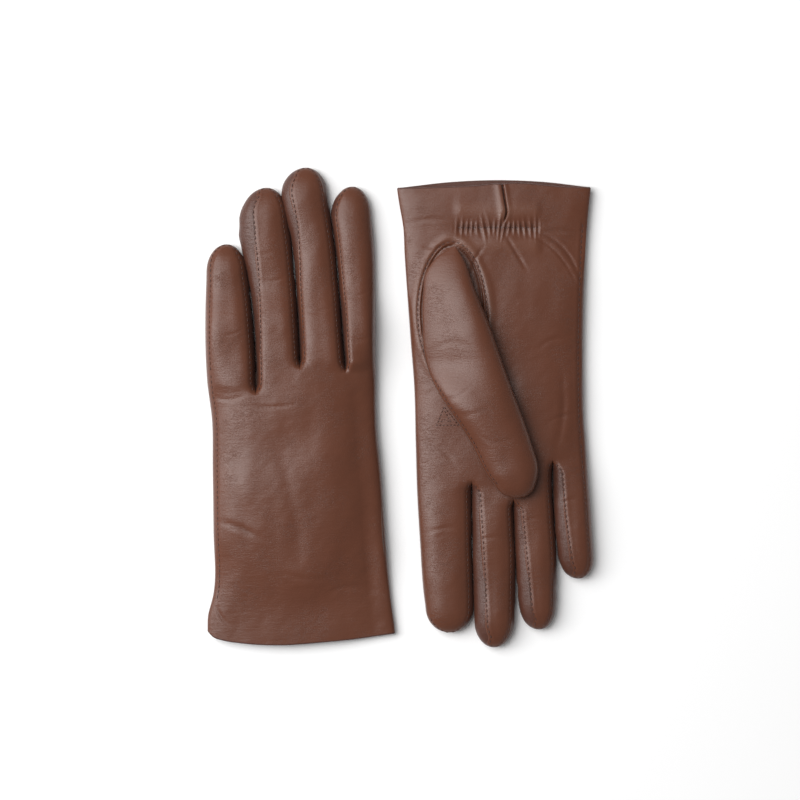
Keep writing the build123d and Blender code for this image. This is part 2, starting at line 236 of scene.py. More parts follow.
def column_edges(side, face, number, v):
    """The two edges of a finger's column, all the way from the cuff to the fingertip."""
    hand_low, hand_high = hand_edges(side, v)
    low, high = finger_edges(side, number, v)
    if number == 0:
        low = np.where(v < LITTLE_ROOT[1], hand_low + (low - hand_low) * step(v, *LITTLE_ROOT), low)
    else:
        start = slit_at(side, face, number - 1)
        low = np.where(v < start, slit_line(side, face, number - 1, v), low)
    if number == 3:
        high = np.where(v < INDEX_ROOT[1],
                        hand_high + (high - hand_high) * step(v, *INDEX_ROOT), high)
    else:
        start = slit_at(side, face, number)
        high = np.where(v < start, slit_line(side, face, number, v), high)
    return low, high


for side in GLOVES:
    edges = [finger_edges(side, number, 60.0) for number in range(4)]
    print(side, "finger widths in mm:", [round(float(high - low), 1) for low, high in edges])

# %% [markdown]
# Seen from the side, an empty glove is a low cushion of air between two skins. Every cross
# section is a squashed round: a superellipse, flatter on top than a circle and steeper at its
# edges. Near the fingers the one wide round of the hand turns into four narrow ones. The left
# glove is raised in its middle, because its thumb is folded away beneath it.

# %% Heights of the top and under faces
LEFT_LIFT = 5.4
EDGE_HEIGHT = {"left": 3.6, "right": 4.6}
HAND_TOP = {"left": [(-124, 7.4), (-105, 8.2), (-84, 12.4), (-50, 15.4), (-10, 15.6), (30, 14.6)],
            "right": [(-120, 7.6), (-105, 8.6), (-90, 8.4), (-60, 10.6), (-10, 11.6), (30, 11.6)]}
FINGER_TOP = {"left": 11.0, "right": 11.3}
LIFT_STARTS, LIFT_ENDS = (-98, -72), (40, 66)
TABLE_GAP = 0.15
# How far below and above the start of a slit the hand's surface turns into a finger's: quickly
# at the web between two fingers, and slowly along the outer edges.
WEB_BELOW, WEB_ABOVE = 1.5, 5.0
OUTER_BELOW, OUTER_ABOVE = 14.0, 30.0
# How flat each cross section is on the side turned to the light and on the shaded side.
HAND_FLATNESS = {"shaded": 2.6, "lit": 3.8}
FINGER_FLATNESS = {"shaded": 2.3, "lit": 2.7}
ROOT_FLATNESS, ROOT_FADES = 2.2, (20, 78)


def lift(side, v):
    """How far the under face is pushed up by the thumb below it."""
    if side == "right":
        return 0 * v
    return LEFT_LIFT * step(v, *LIFT_STARTS) * (1 - step(v, *LIFT_ENDS))


def superellipse(x, flat, round_):
    return np.clip(1 - np.abs(x) ** flat, 0, 1) ** (1 / round_)


def finger_share(side, face, number, x, v):
    """0 where the surface is the hand's and 1 where it is a finger's own."""
    shares = []
    for gap in (number - 1, number):
        start = slit_at(side, face, min(max(gap, 0), 2))
        if 0 <= gap <= 2:
            shares.append(step(v, start - WEB_BELOW, start + WEB_ABOVE))
        else:
            shares.append(step(v, start - OUTER_BELOW, start + OUTER_ABOVE))
    return shares[0] + (shares[1] - shares[0]) * step((x + 1) / 2, 0, 1)


def tip_share(side, number, v):
    """1 along a finger, falling to 0 at the very tip."""
    finger = GLOVES[side]["fingers"][FINGERS[number]]
    shoulder = finger["edges"][-1][0] - 5
    beyond = np.clip((v - shoulder) / (finger["tip"] - shoulder), 0, 1)
    return np.clip(1 - beyond**2.6, 0, 1) ** 0.55


def smooth_height(side, face, number, u, v):
    """The plain height of a face, before creases and stitches."""
    low, high = column_edges(side, face, number, v)
    half = np.maximum((high - low) / 2, 0.01)
    x = np.clip((u - (low + high) / 2) / half, -1, 1)
    hand_low, hand_high = hand_edges(side, v)
    outer_low = np.where(number == 0, low, hand_low)
    outer_high = np.where(number == 3, high, hand_high)
    wide = np.clip((u - (outer_low + outer_high) / 2) / ((outer_high - outer_low) / 2), -1, 1)
    share = finger_share(side, face, number, x, v)
    dark_side = 1 if side == "left" else -1
    raised = lift(side, v)
    edge = EDGE_HEIGHT[side] + 0.25 * raised
    tip = tip_share(side, number, v)
    middle = edge + (1 - tip) * 0.4
    if face == "top":
        flatness = np.where(wide * dark_side > 0, HAND_FLATNESS["shaded"], HAND_FLATNESS["lit"])
        hand = edge + (line(HAND_TOP[side], v) - edge) * superellipse(wide, flatness, 2.0)
        crown = (FINGER_TOP[side] + 0.75 * raised - middle) * tip
        flatness = np.where(x * dark_side > 0, FINGER_FLATNESS["shaded"], FINGER_FLATNESS["lit"])
        flatness = flatness + ROOT_FLATNESS * (1 - step(v, *ROOT_FADES))
        finger = middle + crown * superellipse(x, flatness, 1.9)
    else:
        flat = TABLE_GAP + raised * np.where(wide > 0, 1, superellipse(wide, 2.2, 1.4))
        hand = edge - (edge - flat) * superellipse(wide, 7, 2.0)
        flat = TABLE_GAP + 0.9 * raised
        finger = middle - (middle - flat) * tip * superellipse(x, 3.6, 2.0)
    return hand + share * (finger - hand)


knuckle = float(smooth_height("left", "top", 2, 10.0, np.array(20.0)))
print("left knuckle height:", round(knuckle, 1))

# %% [markdown]
# Fine leather never lies still: it has slow waves where the hand pulled it, sharp valleys where
# it was folded, and small gathers along an elastic. Waves are a few sines at odd angles. A
# crease is a valley along a curve with a soft rise on both its sides, deepest at its middle.

# %% Waves and creases
def waves(u, v, seed, length, count=9):
    """A smooth random surface between about -1 and 1 with features of that length."""
    chance = np.random.default_rng(seed)
    total = 0
    for _ in range(count):
        turn = chance.uniform(0, 2 * math.pi)
        size = length * chance.uniform(0.7, 1.6)
        start = chance.uniform(0, 2 * math.pi)
        along = u * math.cos(turn) + v * math.sin(turn)
        total = total + np.sin(2 * math.pi * along / size + start)
    return total / math.sqrt(count) * 0.7


# One scale for the depth and one for the width of every crease, the share of the depth that
# rises again beside it, and the number of points tried along its curve.
CREASE_DEPTH = 0.4
CREASE_WIDTH = 0.62
CREASE_RISE = 0.18
CREASE_POINTS = 41


def crease(u, v, points, depth, width):
    """A fold along the curve through three points (start, middle, end)."""
    (u0, v0), (um, vm), (u2, v2) = points
    u1, v1 = 2 * um - (u0 + u2) / 2, 2 * vm - (v0 + v2) / 2
    near = np.full(np.shape(u), 1e9)
    fade = np.zeros(np.shape(u))
    for t in np.linspace(0, 1, CREASE_POINTS):
        pu = (1 - t) ** 2 * u0 + 2 * t * (1 - t) * u1 + t * t * u2
        pv = (1 - t) ** 2 * v0 + 2 * t * (1 - t) * v1 + t * t * v2
        away = (u - pu) ** 2 + (v - pv) ** 2
        closer = away < near
        near = np.where(closer, away, near)
        fade = np.where(closer, math.sin(math.pi * min(max(t, 0.03), 0.97)) ** 0.7, fade)
    away = np.sqrt(near) / (CREASE_WIDTH * width)
    return CREASE_DEPTH * depth * fade * (CREASE_RISE * bump(away, 2.0, 1.1) - bump(away, 0, 1))


print("a crease at its middle is", CREASE_DEPTH, "mm deep for each unit of depth")

# %% [markdown]
# The creases of the upper faces: short folds across the fingers where they bend, two under the
# little finger's slit, soft hollows along the backs, and on the palm the long arcs that run
# from the elastic round the ball of the thumb.

# %% The creases of both gloves
# Each crease: three points (u, v), depth and width.
CREASES = {
    "left": [
        ([(-46, 5.5), (-37, 4.2), (-29, 6.2)], 0.75, 1.4),
        ([(-30, 1.5), (-16, 0.2), (-3, 1.6)], 0.9, 1.3),
        ([(-43, -60), (-32, -63), (-18, -70)], 0.9, 2.6),
        ([(-44, -105), (-42, -110), (-37, -115)], 0.9, 1.4),
        ([(-23, 81.5), (-19, 80.6), (-14.5, 81.4)], 0.5, 1.2),
        ([(-24, 68), (-16, 66), (-8, 69)], 0.45, 1.3),
        ([(-46, 40), (-38, 38), (-30, 41)], 0.5, 1.3),
        ([(0, 52), (8, 50), (17, 53)], 0.45, 1.4),
        ([(21, 60), (28, 58), (37, 62)], 0.5, 1.4),
        ([(22, 38), (30, 35), (38, 38)], 0.45, 1.5),
        ([(-14, -16), (-4, -50), (0, -88)], 0.5, 5.0),
        ([(-30, -20), (-33, -44), (-24, -84)], 0.5, 5.0),
        ([(14, -98), (28, -94), (44, -99)], 0.6, 2.2),
        ([(-10, -86), (4, -90), (20, -88)], 0.5, 2.2),
    ],
    "right": [
        ([(-4, -90), (-9, -82), (-15, -72)], 0.9, 1.6),
        ([(-13, -93), (-33, -85), (-46, -59)], 0.95, 1.5),
        ([(-12, -91), (-30, -82), (-44, -58)], 0.5, 1.2),
        ([(-24, -93), (-36, -92.6), (-47, -91)], 0.9, 1.3),
        ([(20, -88), (30, -84), (42, -86)], 0.9, 1.5),
        ([(22, -97), (34, -99), (48, -97)], 0.7, 1.5),
        ([(8, -84), (12, -78), (14, -70)], 0.8, 1.5),
        ([(-28, 60), (-20, 58), (-12, 61)], 0.5, 1.3),
        ([(-8, 70), (2, 68), (12, 71)], 0.5, 1.3),
        ([(15, 66), (26, 63), (39, 67)], 0.5, 1.5),
        ([(-48, 50), (-40, 48), (-32, 51)], 0.5, 1.3),
        ([(-30, 22), (-34, 2), (-33, -20)], 0.8, 3.0),
        ([(-44, 6), (-36, 4), (-26, 8)], 0.6, 1.8),
        ([(-20, -30), (-30, -36), (-42, -34)], 0.5, 2.0),
        ([(22, 32), (30, 22), (40, 18)], 0.5, 2.0),
    ],
}
print("creases:", {key: len(rows) for key, rows in CREASES.items()})

# %% [markdown]
# The relief of the upper faces: waves, creases, the pull of each stitch, and the rolled edge
# where a finger's leather ends at its side wall. Beyond a ridge, the back of the left glove
# turns down towards the index side.

# %% Relief of the upper faces
STITCH_PITCH = 2.75
STITCH_INSET = 1.35
OUTSEAM_INSET = 2.6
OUTSEAM_START = {"left": -101.0, "right": -97.0}
# Over how far the leather draws back from a side wall above the start of its slit, and before
# the fingertip, and the least it draws back.
SLIT_OPENS = 6.0
WALL_ENDS = 6
LEAST_INSET = 0.35
# The edge of that leather rolls down: depth, width, and the length over which this begins.
EDGE_ROLL, ROLL_WIDTH, ROLL_STARTS = -0.55, 0.6, 5
TIP_CALM, CALM_LENGTH = 0.85, 7
# How far a finger's leather stops short of its edge where its side wall shows: (v, inset).
LITTLE_WALL = [(28, 2.8), (50, 4.2), (80, 5.2)]
RIGHT_WALL = [(30, 2.2), (50, 3.0), (88, 4.8), (110, 5.0)]
WIDE_WALLS = {("left", "ring", "low"): [(30, 1.4), (60, 3.4), (80, 6.2), (92, 7.0), (109, 4.4)],
              ("left", "middle", "low"): [(60, 1.0), (84, 2.2), (106, 4.6), (121, 3.0)],
              ("right", "little", "high"): LITTLE_WALL,
              ("right", "ring", "high"): RIGHT_WALL, ("right", "middle", "high"): RIGHT_WALL}
NARROW_WALL = [(0, 1.0), (1, 1.0)]
WALL_SHARE = 0.34
# The valley of a seam (depth, width) and the low ridge beside it, as (height, place, width).
SEAM_VALLEY = (-0.24, 0.7)
SEAM_RIDGE = ((0.07, 2.9, 1.0),)
# Where the back of the left glove turns down towards the index side, and how it levels out
# again near the edge, at the knuckles and (by most of its slope) at the cuff.
TURN_DOWN = [(-124, -6), (-100, 5), (-60, 15), (-20, 17), (10, 16)]
TURN_SLOPE = 0.11
TURN_SOFTNESS = 2.0
TURN_EDGE = (0, 12)
TURN_KNUCKLES = (-4, 22)
TURN_CUFF, CUFF_LEVEL = (84, 108), 0.75


def seam_insets(side, number, v):
    """How far each edge of a finger's top leather stops short of the finger's own edge."""
    finger = GLOVES[side]["fingers"][FINGERS[number]]
    ending = 1 - step(v, finger["tip"] - WALL_ENDS, finger["tip"])
    low, high = (line(WIDE_WALLS.get((side, FINGERS[number], edge), NARROW_WALL), v)
                 for edge in ("low", "high"))
    slits = [slit_at(side, "top", min(max(gap, 0), 2)) for gap in (number - 1, number)]
    opened = [step(v, slit, slit + SLIT_OPENS) for slit in slits]
    edges = finger_edges(side, number, v)
    most = WALL_SHARE * (edges[1] - edges[0])
    low, high = (np.minimum((inset * ending + LEAST_INSET) * share, most)
                 for inset, share in zip((low, high), opened))
    return 0 * v if number == 0 else low, 0 * v if number == 3 else high


def seam_pull(away, v):
    """The little valley that a row of stitches pulls into the leather."""
    pull = 0.65 + 0.35 * np.cos(2 * math.pi * v / STITCH_PITCH)
    depth, width = SEAM_VALLEY
    return depth * pull * bump(away, STITCH_INSET, width) + profile(away, SEAM_RIDGE)


def slow_waves(u, v):
    """The widest waves, which don't count as folds."""
    return 0.38 * waves(u, v, 5, 38)


def turned_down(u, v):
    """The slope of the left back beyond its ridge, level again at the edge and the cuff."""
    beyond = u - line(TURN_DOWN, v)
    ramp = TURN_SOFTNESS * np.logaddexp(0, beyond / TURN_SOFTNESS)
    free = step(hand_edges("left", v)[1] - u, *TURN_EDGE) * (1 - step(v, *TURN_KNUCKLES))
    return -TURN_SLOPE * ramp * free * (1 - CUFF_LEVEL * step(-v, *TURN_CUFF))


def top_relief(side, number, u, v):
    """All that lies on the plain height of an upper face."""
    low, high = column_edges(side, "top", number, v)
    inset_low, inset_high = seam_insets(side, number, v)
    relief = slow_waves(u, v) + 0.07 * waves(u, v * 0.8, 8, 14) + 0.022 * waves(u, v, 9, 5)
    relief = relief + sum(crease(u, v, *fold) for fold in CREASES[side])
    for edge, inset, gap in ((u - low, inset_low, number - 1), (high - u, inset_high, number)):
        if 0 <= gap <= 2:
            start = slit_at(side, "top", gap)
            away = edge - inset
            roll = EDGE_ROLL * np.clip(1 - away / ROLL_WIDTH, 0, 1) ** 2
            roll = roll * step(v, start, start + ROLL_STARTS)
            relief = relief + step(v, start - 2, start + 2) * seam_pull(away, v) + roll
    if number == 0:
        start = OUTSEAM_START[side]
        outseam = seam_pull((u - low) - OUTSEAM_INSET + STITCH_INSET, v)
        relief = relief + outseam * step(v, start - 3, start + 3)
    if side == "right":
        relief = relief + elastic_relief(u, v) + vent_relief(u, v) + hole_relief(u, v)
    else:
        relief = relief + turned_down(u, v)
    if number == 0:
        relief = relief * step(u - low, -0.4, 1.8) * step(u - low, -0.001, 0.6)
    if number == 3:
        relief = relief * step(high - u, -0.001, 2.2)
    tip = GLOVES[side]["fingers"][FINGERS[number]]["tip"]
    return relief * (1 - TIP_CALM * step(v, tip - CALM_LENGTH, tip))


print("stitch pitch in mm:", STITCH_PITCH)

# %% [markdown]
# The palm of the right glove has three features of its own: the gathers along the elastic, the
# slit in the cuff, whose one lip folds a little over the other, and the seam round the thumb
# hole. The full height of a face is its plain height with its relief on top.

# %% Relief of the palm
ELASTIC_V = -94.6
ELASTIC_ENDS = (-21.0, 21.5)
GATHER_PITCH = 2.75
GATHER_HEIGHT = 0.85
GATHER_REACH, LEAST_REACH = 3.4, 1.8
VENT = [(-116.5, -2.3), (-108, -3.6), (-102.4, -4.3), (-98, -3.2)]
VENT_ENDS = (-101, -96)
HOLE_CENTRE = (24.3, -50.0)
HOLE_HALF = (16.0, 35.0)
# The folds across the elastic, the slit in the cuff and the seam round the thumb hole, each as
# (height, place, width).
ELASTIC_FOLDS = ((-0.25, 0, 0.9), (-0.6, 0, 4.0), (0.55, 9.0, 5), (0.5, -9.0, 5))
VENT_FOLDS = ((-1.9, 0, 0.36), (0.5, 2.2, 2.0), (0.3, -1.4, 1.3))
HOLE_FOLDS = ((-0.9, 0, 0.6), (0.35, 1.0, 0.6), (-0.3, 2.1, 0.6), (0.5, 4.2, 2.2))


def elastic_relief(u, v):
    """Gathers, deepest at the elastic and fading out above and below it."""
    inside = step(u, ELASTIC_ENDS[0] - 3, ELASTIC_ENDS[0] + 2) * (
        1 - step(u, ELASTIC_ENDS[1] - 2, ELASTIC_ENDS[1] + 3))
    away = v - ELASTIC_V
    lean = 0.22 * away * waves(u, 0 * v, 24, 18) + 0.7 * waves(u, v * 0.25, 21, 13)
    reach = np.maximum(GATHER_REACH + 1.8 * waves(u, 0 * v, 22, 7), LEAST_REACH)
    gather = 0.5 + 0.5 * np.cos(2 * math.pi * (u + lean) / GATHER_PITCH)
    puckers = (GATHER_HEIGHT * gather**1.8 - 0.2) * bump(away, 0, reach)
    return inside * (puckers + profile(away, ELASTIC_FOLDS))


def vent_relief(u, v):
    """The pleat in the cuff: one lip folds a little over the other."""
    return (1 - step(v, *VENT_ENDS)) * profile(u - line(VENT, v), VENT_FOLDS)


def hole_relief(u, v):
    """The seam round the thumb hole, with the pull of its stitches outside it."""
    return profile(hole_distance(u, v), HOLE_FOLDS)


def hole_distance(u, v):
    """About how far outside the edge of the thumb hole a point is."""
    x = (u - HOLE_CENTRE[0]) / HOLE_HALF[0]
    y = (v - HOLE_CENTRE[1]) / HOLE_HALF[1]
    around = np.sqrt(x**2 + y**2) + 1e-6
    size = np.sqrt((x * HOLE_HALF[0]) ** 2 + (y * HOLE_HALF[1]) ** 2) / around
    return (around - 1) * size


def top_height(side, number, u, v):
    return smooth_height(side, "top", number, u, v) + top_relief(side, number, u, v)


def under_height(side, number, u, v):
    return np.maximum(smooth_height(side, "under", number, u, v), 0.12)


print("gathers along the elastic:", round((ELASTIC_ENDS[1] - ELASTIC_ENDS[0]) / GATHER_PITCH))

# %% [markdown]
# Four small helpers: one selects pieces, one runs operators on a whole piece in edit mode, one
# makes directions one unit long, and one stores a value for each point of a mesh.

# %% Small helpers
def select(*pieces):
    """Selects only these pieces, and makes the first one active."""
    bpy.ops.object.select_all(action="DESELECT")
    for piece in pieces:
        piece.select_set(True)
    if pieces:
        bpy.context.view_layer.objects.active = pieces[0]


def edit_all(*steps):
    """Runs steps in edit mode on everything in the active piece."""
    bpy.ops.object.mode_set(mode="EDIT")
    bpy.ops.mesh.select_all(action="SELECT")
    for operator, settings in steps:
        operator(**settings)
    bpy.ops.object.mode_set(mode="OBJECT")


def unit(vectors):
    return vectors / np.maximum(np.linalg.norm(vectors, axis=-1, keepdims=True), 1e-9)


def keep_on_points(mesh, name, values):
    """Stores a number or a direction for each point of a mesh."""
    values = np.asarray(values, float)
    kind, word = ("FLOAT_VECTOR", "vector") if values.ndim > 1 else ("FLOAT", "value")
    mesh.attributes.new(name, kind, "POINT")
    mesh.attributes[name].data.foreach_set(word, values.ravel())


print("small helpers are ready")

# %% [markdown]
# A sheet of leather starts as Blender's grid, one flat primitive with the rows and columns that
# the piece needs, and its points are then moved to the glove's surface by the formulas above.
# Each grid keeps the smooth direction of the whole glove at every point, so that where one skin
# is cut into pieces that move apart, no edge shows while they lie together.

# %% From a grid to a piece of glove
def grid_normals(points):
    """The direction square to a grid of points, pointing up for rows along +v."""
    along = np.gradient(points, axis=0)
    across = np.gradient(points, axis=1)
    return unit(np.cross(across, along))


def grid_piece(name, side, points, normals, fold=None):
    """A grid primitive whose points are moved to the given glove millimetres."""
    rows, columns = points.shape[:2]
    select()
    bpy.ops.mesh.primitive_grid_add(x_subdivisions=columns - 1, y_subdivisions=rows - 1, size=1)
    piece = bpy.context.object
    piece.name = name
    mesh = piece.data
    flat = np.empty(len(mesh.vertices) * 3)
    mesh.vertices.foreach_get("co", flat)
    flat = flat.reshape(-1, 3).round(5)
    order = np.lexsort((flat[:, 0], flat[:, 1]))
    placed = np.empty_like(flat)
    placed[order] = to_frame(side, points).reshape(-1, 3)
    turned = normals if side == "left" else normals * (-1, -1, 1)
    pointing = np.empty_like(flat)
    pointing[order] = turned.reshape(-1, 3)
    depth = np.zeros(len(flat))
    if fold is not None:
        depth[order] = fold.ravel()
    mesh.vertices.foreach_set("co", placed.ravel())
    keep_on_points(mesh, "skin_normal", pointing)
    keep_on_points(mesh, "fold", depth)
    mesh.update()
    kept = mesh.attributes["skin_normal"].data
    sample = [mesh.polygons[number] for number in range(0, len(mesh.polygons), 7)]
    outward = sum(face.normal.dot(kept[face.vertices[0]].vector) for face in sample)
    if outward < 0:
        edit_all((bpy.ops.mesh.flip_normals, {}))
    return piece


def join(pieces, name, merge=0.00002):
    """Several grids as one piece, with their shared edges sewn together."""
    select(*pieces)
    if len(pieces) > 1:
        bpy.ops.object.join()
    piece = bpy.context.object
    piece.name = name
    piece.data.name = name
    edit_all((bpy.ops.mesh.remove_doubles, {"threshold": merge}),
             (bpy.ops.mesh.dissolve_degenerate, {"threshold": 1e-6}))
    return piece


def keep_skin_normals(piece):
    """Shades the piece with the whole skin's directions."""
    select(piece)
    bpy.ops.object.shade_smooth()
    mesh = piece.data
    kept = np.empty(len(mesh.vertices) * 3)
    mesh.attributes["skin_normal"].data.foreach_get("vector", kept)
    mesh.normals_split_custom_set_from_vertices(unit(kept.reshape(-1, 3)).tolist())
    return piece


def share_normals(sheets):
    """Where sheets meet, gives their common points one direction."""
    spots = np.concatenate([sheet["points"].reshape(-1, 3) for sheet in sheets])
    normals = np.concatenate([sheet["normals"].reshape(-1, 3) for sheet in sheets])
    keys = np.unique(spots.round(3), axis=0, return_inverse=True)[1].ravel()
    total = np.zeros((keys.max() + 1, 3))
    np.add.at(total, keys, normals)
    shared = unit(total)[keys]
    start = 0
    for sheet in sheets:
        count = sheet["normals"].shape[0] * sheet["normals"].shape[1]
        sheet["normals"] = shared[start:start + count].reshape(sheet["normals"].shape)
        start += count


print("grids can be placed, joined and shaded")

# %% [markdown]
# A sheet's rows run across the finger. They are a millimetre apart along the glove and closer
# round a fingertip, and the columns are closer at both edges, where the leather turns down
# most. The rows nearest the cuff are moved to follow its curved edge.

# %% Rows and columns of a sheet
TOP_COLUMNS = 52
UNDER_COLUMNS = 20
ROW = 1.0
TIP_ROWS = 16
UNDER_INSET, UNDER_OPENS = 0.45, 8
# How far from the cuff the rows are moved to follow its edge, and the v at which the little,
# ring, middle and index fingers' skins start.
CUFF_REACH = 20
JOIN_V = (19, 37, 37, 32)


def spread(columns):
    """Positions from 0 to 1, closer together at both ends."""
    even = np.linspace(0, 1, columns + 1)
    return 0.55 * even + 0.45 * (0.5 - 0.5 * np.cos(math.pi * even))


CUFF_LINES = {
    ("left", "back"): [(-49.5, -117.4), (-46, -120.4), (-41, -122.0), (-31, -123.5), (-7, -124.4),
                       (8, -123.3), (25, -121.8), (50, -118.4)],
    ("left", "palm"): [(-49.5, -117.4), (-31, -121.8), (-7, -122.8), (25, -120.4), (50, -118.4)],
    ("right", "back"): [(-49.5, -115.2), (-25, -118.2), (-2, -119.2), (25, -118.2), (54, -114.8)],
    ("right", "palm"): [(-49.5, -115.2), (-31, -115.7), (-16, -117.2), (-6, -117.4), (-2.2, -116.9),
                        (2, -117.0), (12, -116.0), (30, -115.3), (54, -114.8)],
}


def first_row(side):
    """The v of the row nearest the cuff, before it is moved to the cuff's own edge."""
    return GLOVES[side]["cuff"] + 2.0


def cuff_edge(side, face, u):
    """The cuff's own edge: the palm's is a little shorter, and both meet at the sides."""
    skin = "palm" if (face == "top") == (side == "right") else "back"
    return line(CUFF_LINES[side, skin], u)


def column_rows(side, number, join_row):
    """The v of each row of a finger's column: even along it, closer at the rounded tip."""
    finger = GLOVES[side]["fingers"][FINGERS[number]]
    shoulder = finger["edges"][-1][0] - 4
    first = first_row(side) + np.arange(0, join_row + 1) * ROW
    count = max(4, round((shoulder - first[-1]) / ROW))
    along = np.linspace(first[-1], shoulder, count + 1)[1:]
    turn = np.linspace(0, math.pi / 2, TIP_ROWS + 1)[1:]
    tip = shoulder + (finger["tip"] - shoulder) * np.sin(turn)
    return np.concatenate([first, along, tip])


def face_sheet(side, face, number, join_row):
    """One column of a glove, from the cuff to the fingertip, on its top or under face."""
    rows = column_rows(side, number, join_row)
    columns = TOP_COLUMNS if face == "top" else UNDER_COLUMNS
    v = np.repeat(rows[:, None], columns + 1, axis=1)
    low, high = column_edges(side, face, number, v)
    inset_low, inset_high = seam_insets(side, number, v)
    if face == "under":
        inset_low, inset_high = (
            np.minimum(inset, UNDER_INSET) * step(v, slit, slit + UNDER_OPENS)
            for inset, slit in ((inset_low, slit_at(side, "under", max(number - 1, 0))),
                                (inset_high, slit_at(side, "under", min(number, 2)))))
    low, high = low + inset_low, high - inset_high
    u = low + (high - low) * spread(columns)[None, :]
    near = 1 - step(v, rows[0], rows[0] + CUFF_REACH)
    v = v + near * (cuff_edge(side, face, u) - rows[0])
    height = top_height if face == "top" else under_height
    z = height(side, number, u, v)
    points = np.stack([u, v, z], axis=2)
    normals = grid_normals(points)
    fold = 0 * z
    if face == "top":
        fold = z - smooth_height(side, face, number, u, v) - slow_waves(u, v)
        if side == "left":
            fold = fold - turned_down(u, v)
    else:
        normals = -normals
    return dict(points=points, normals=normals, fold=fold, rows=rows)


print("grid sizes:", TOP_COLUMNS, UNDER_COLUMNS)

# %% [markdown]
# The skin of each hand is cut from the same sheets as its fingers: rows up to the knuckles go to
# the hand, and the rest to the fingers. The sheets of one glove share their directions first.

# %% Cut the hand and finger skins
def leather_sheets(side):
    sheets = {}
    for number in range(4):
        join_row = round(JOIN_V[number] - first_row(side))
        for face in ("top", "under"):
            sheet = face_sheet(side, face, number, join_row)
            sheet["join"] = join_row
            sheets[face, number] = sheet
    share_normals(list(sheets.values()))
    return sheets


def part_of(sheet, first, last):
    return [sheet[key][first:last] for key in ("points", "normals", "fold")]


SHEETS = {side: leather_sheets(side) for side in GLOVES}
skins = {}
for side, sheets in SHEETS.items():
    parts = []
    for (face, number), sheet in sheets.items():
        cut = part_of(sheet, 0, sheet["join"] + 1)
        parts.append(grid_piece(f"{side}_hand_{face}_{number}", side, *cut))
    skin = keep_skin_normals(join(parts, f"{side}_hand_skin"))
    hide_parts(f"{side}_hand_leather")
    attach(skin, f"{side}_hand")
    skins[side, "hand"] = skin
    for number, finger in enumerate(FINGERS):
        parts = []
        for face in ("top", "under"):
            sheet = sheets[face, number]
            cut = part_of(sheet, sheet["join"], None)
            parts.append(grid_piece(f"{side}_{finger}_{face}", side, *cut))
        skin = keep_skin_normals(join(parts, f"{side}_{finger}_skin"))
        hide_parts(f"{side}_{finger}_leather")
        skins[side, finger] = skin
    print(side, "skins:", [len(skins[side, name].data.polygons) for name in ("hand", *FINGERS)])

# %% [markdown]
# A finger skin is only baked in place and is not attached to a body. The two points a short
# length each side of its hinge are found but not used, so the skin has no blend at the hinge.

# %% Finger skins, baked in place
BEND_REACH = 11.0


def across_hinge(side, name):
    """Two points in the frame, before and after a finger's hinge."""
    child = f"{side}_{name}"
    hinge = next(joint for joint in frame["joints"] if joint["child"] == child)
    at = Vector(hinge["pos_m"])
    along = Vector((0, 1 if side == "left" else -1, 0)) * BEND_REACH * MM
    return tuple(at - along), tuple(at + along)


def bend_with(piece, side, name):
    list(across_hinge(side, name))
    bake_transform(piece)


for side in GLOVES:
    for finger in FINGERS:
        bend_with(skins[side, finger], side, finger)
print("bent finger skins:", 4 * len(GLOVES))

# %% [markdown]
# The side walls of the fingers, called fourchettes, are narrow strips sewn between the top and
# under leather. They are sunk a little below the leather's edge, so that the edge and its
# shadow show where the two are sewn.

# %% Fourchettes
WALL_STEPS = 15
WALL_GAP = 0.6
# How far the wall reaches in beyond the leather's edge above and below, at most as a share of
# the finger, how far it lies below the leather there, and the power that rounds it.
REACH_TOP, REACH_UNDER, REACH_SHARE = 0.7, 0.5, 0.45
BELOW_SKIN = 0.15
WALL_ROUNDNESS = 1.6
SUNK = 0.03
UNDER_SLIT_INSET = 0.3


def wall_sheet(side, number, high_side):
    """The strip that closes one side of a finger, from its top leather to its under leather."""
    gap = number if high_side else number - 1
    under_start = slit_at(side, "under", gap)
    rows = SHEETS[side]["top", number]["rows"]
    rows = rows[rows > slit_at(side, "top", gap) + WALL_GAP]
    v = np.repeat(rows[:, None], WALL_STEPS, axis=1)
    low, high = column_edges(side, "top", number, v)
    inset = seam_insets(side, number, v)[1 if high_side else 0]
    edge, inward = (high, -1) if high_side else (low, 1)
    turn = np.linspace(-1, 1, WALL_STEPS)[None, :]
    depth_in = np.abs(turn) ** WALL_ROUNDNESS
    upper = turn < 0
    under_inset = np.where(v > under_start, np.minimum(inset, UNDER_INSET), UNDER_SLIT_INSET)
    away = np.where(upper, inset + REACH_TOP, under_inset + REACH_UNDER) * depth_in
    away = np.minimum(away, REACH_SHARE * (high - low))
    u = edge + inward * away
    z = np.where(upper, smooth_height(side, "top", number, u, v) - BELOW_SKIN,
                 smooth_height(side, "under", number, u, v) + BELOW_SKIN)
    u = u + inward * SUNK
    wrinkle = 0.16 * waves(v, z * 1.7, 40 + number, 7) + 0.2 * waves(v, z * 0.4, 60 + number, 16)
    u = u + inward * (wrinkle * (1 - np.abs(turn)) * step(high - low, 2, 10) + 0.05)
    points = np.stack([u, v, z], axis=2)
    normals = grid_normals(points)
    normals *= np.where(normals[..., :1] * inward > 0, -1, 1)
    return points, normals


def fourchette_names(finger):
    """Each inner side of a finger, and the name of its wall."""
    if finger == "index":
        return {False: "index_fourchette"}
    if finger == "little":
        return {True: "little_fourchette"}
    return {True: f"{finger}_fourchette_index_side", False: f"{finger}_fourchette_little_side"}


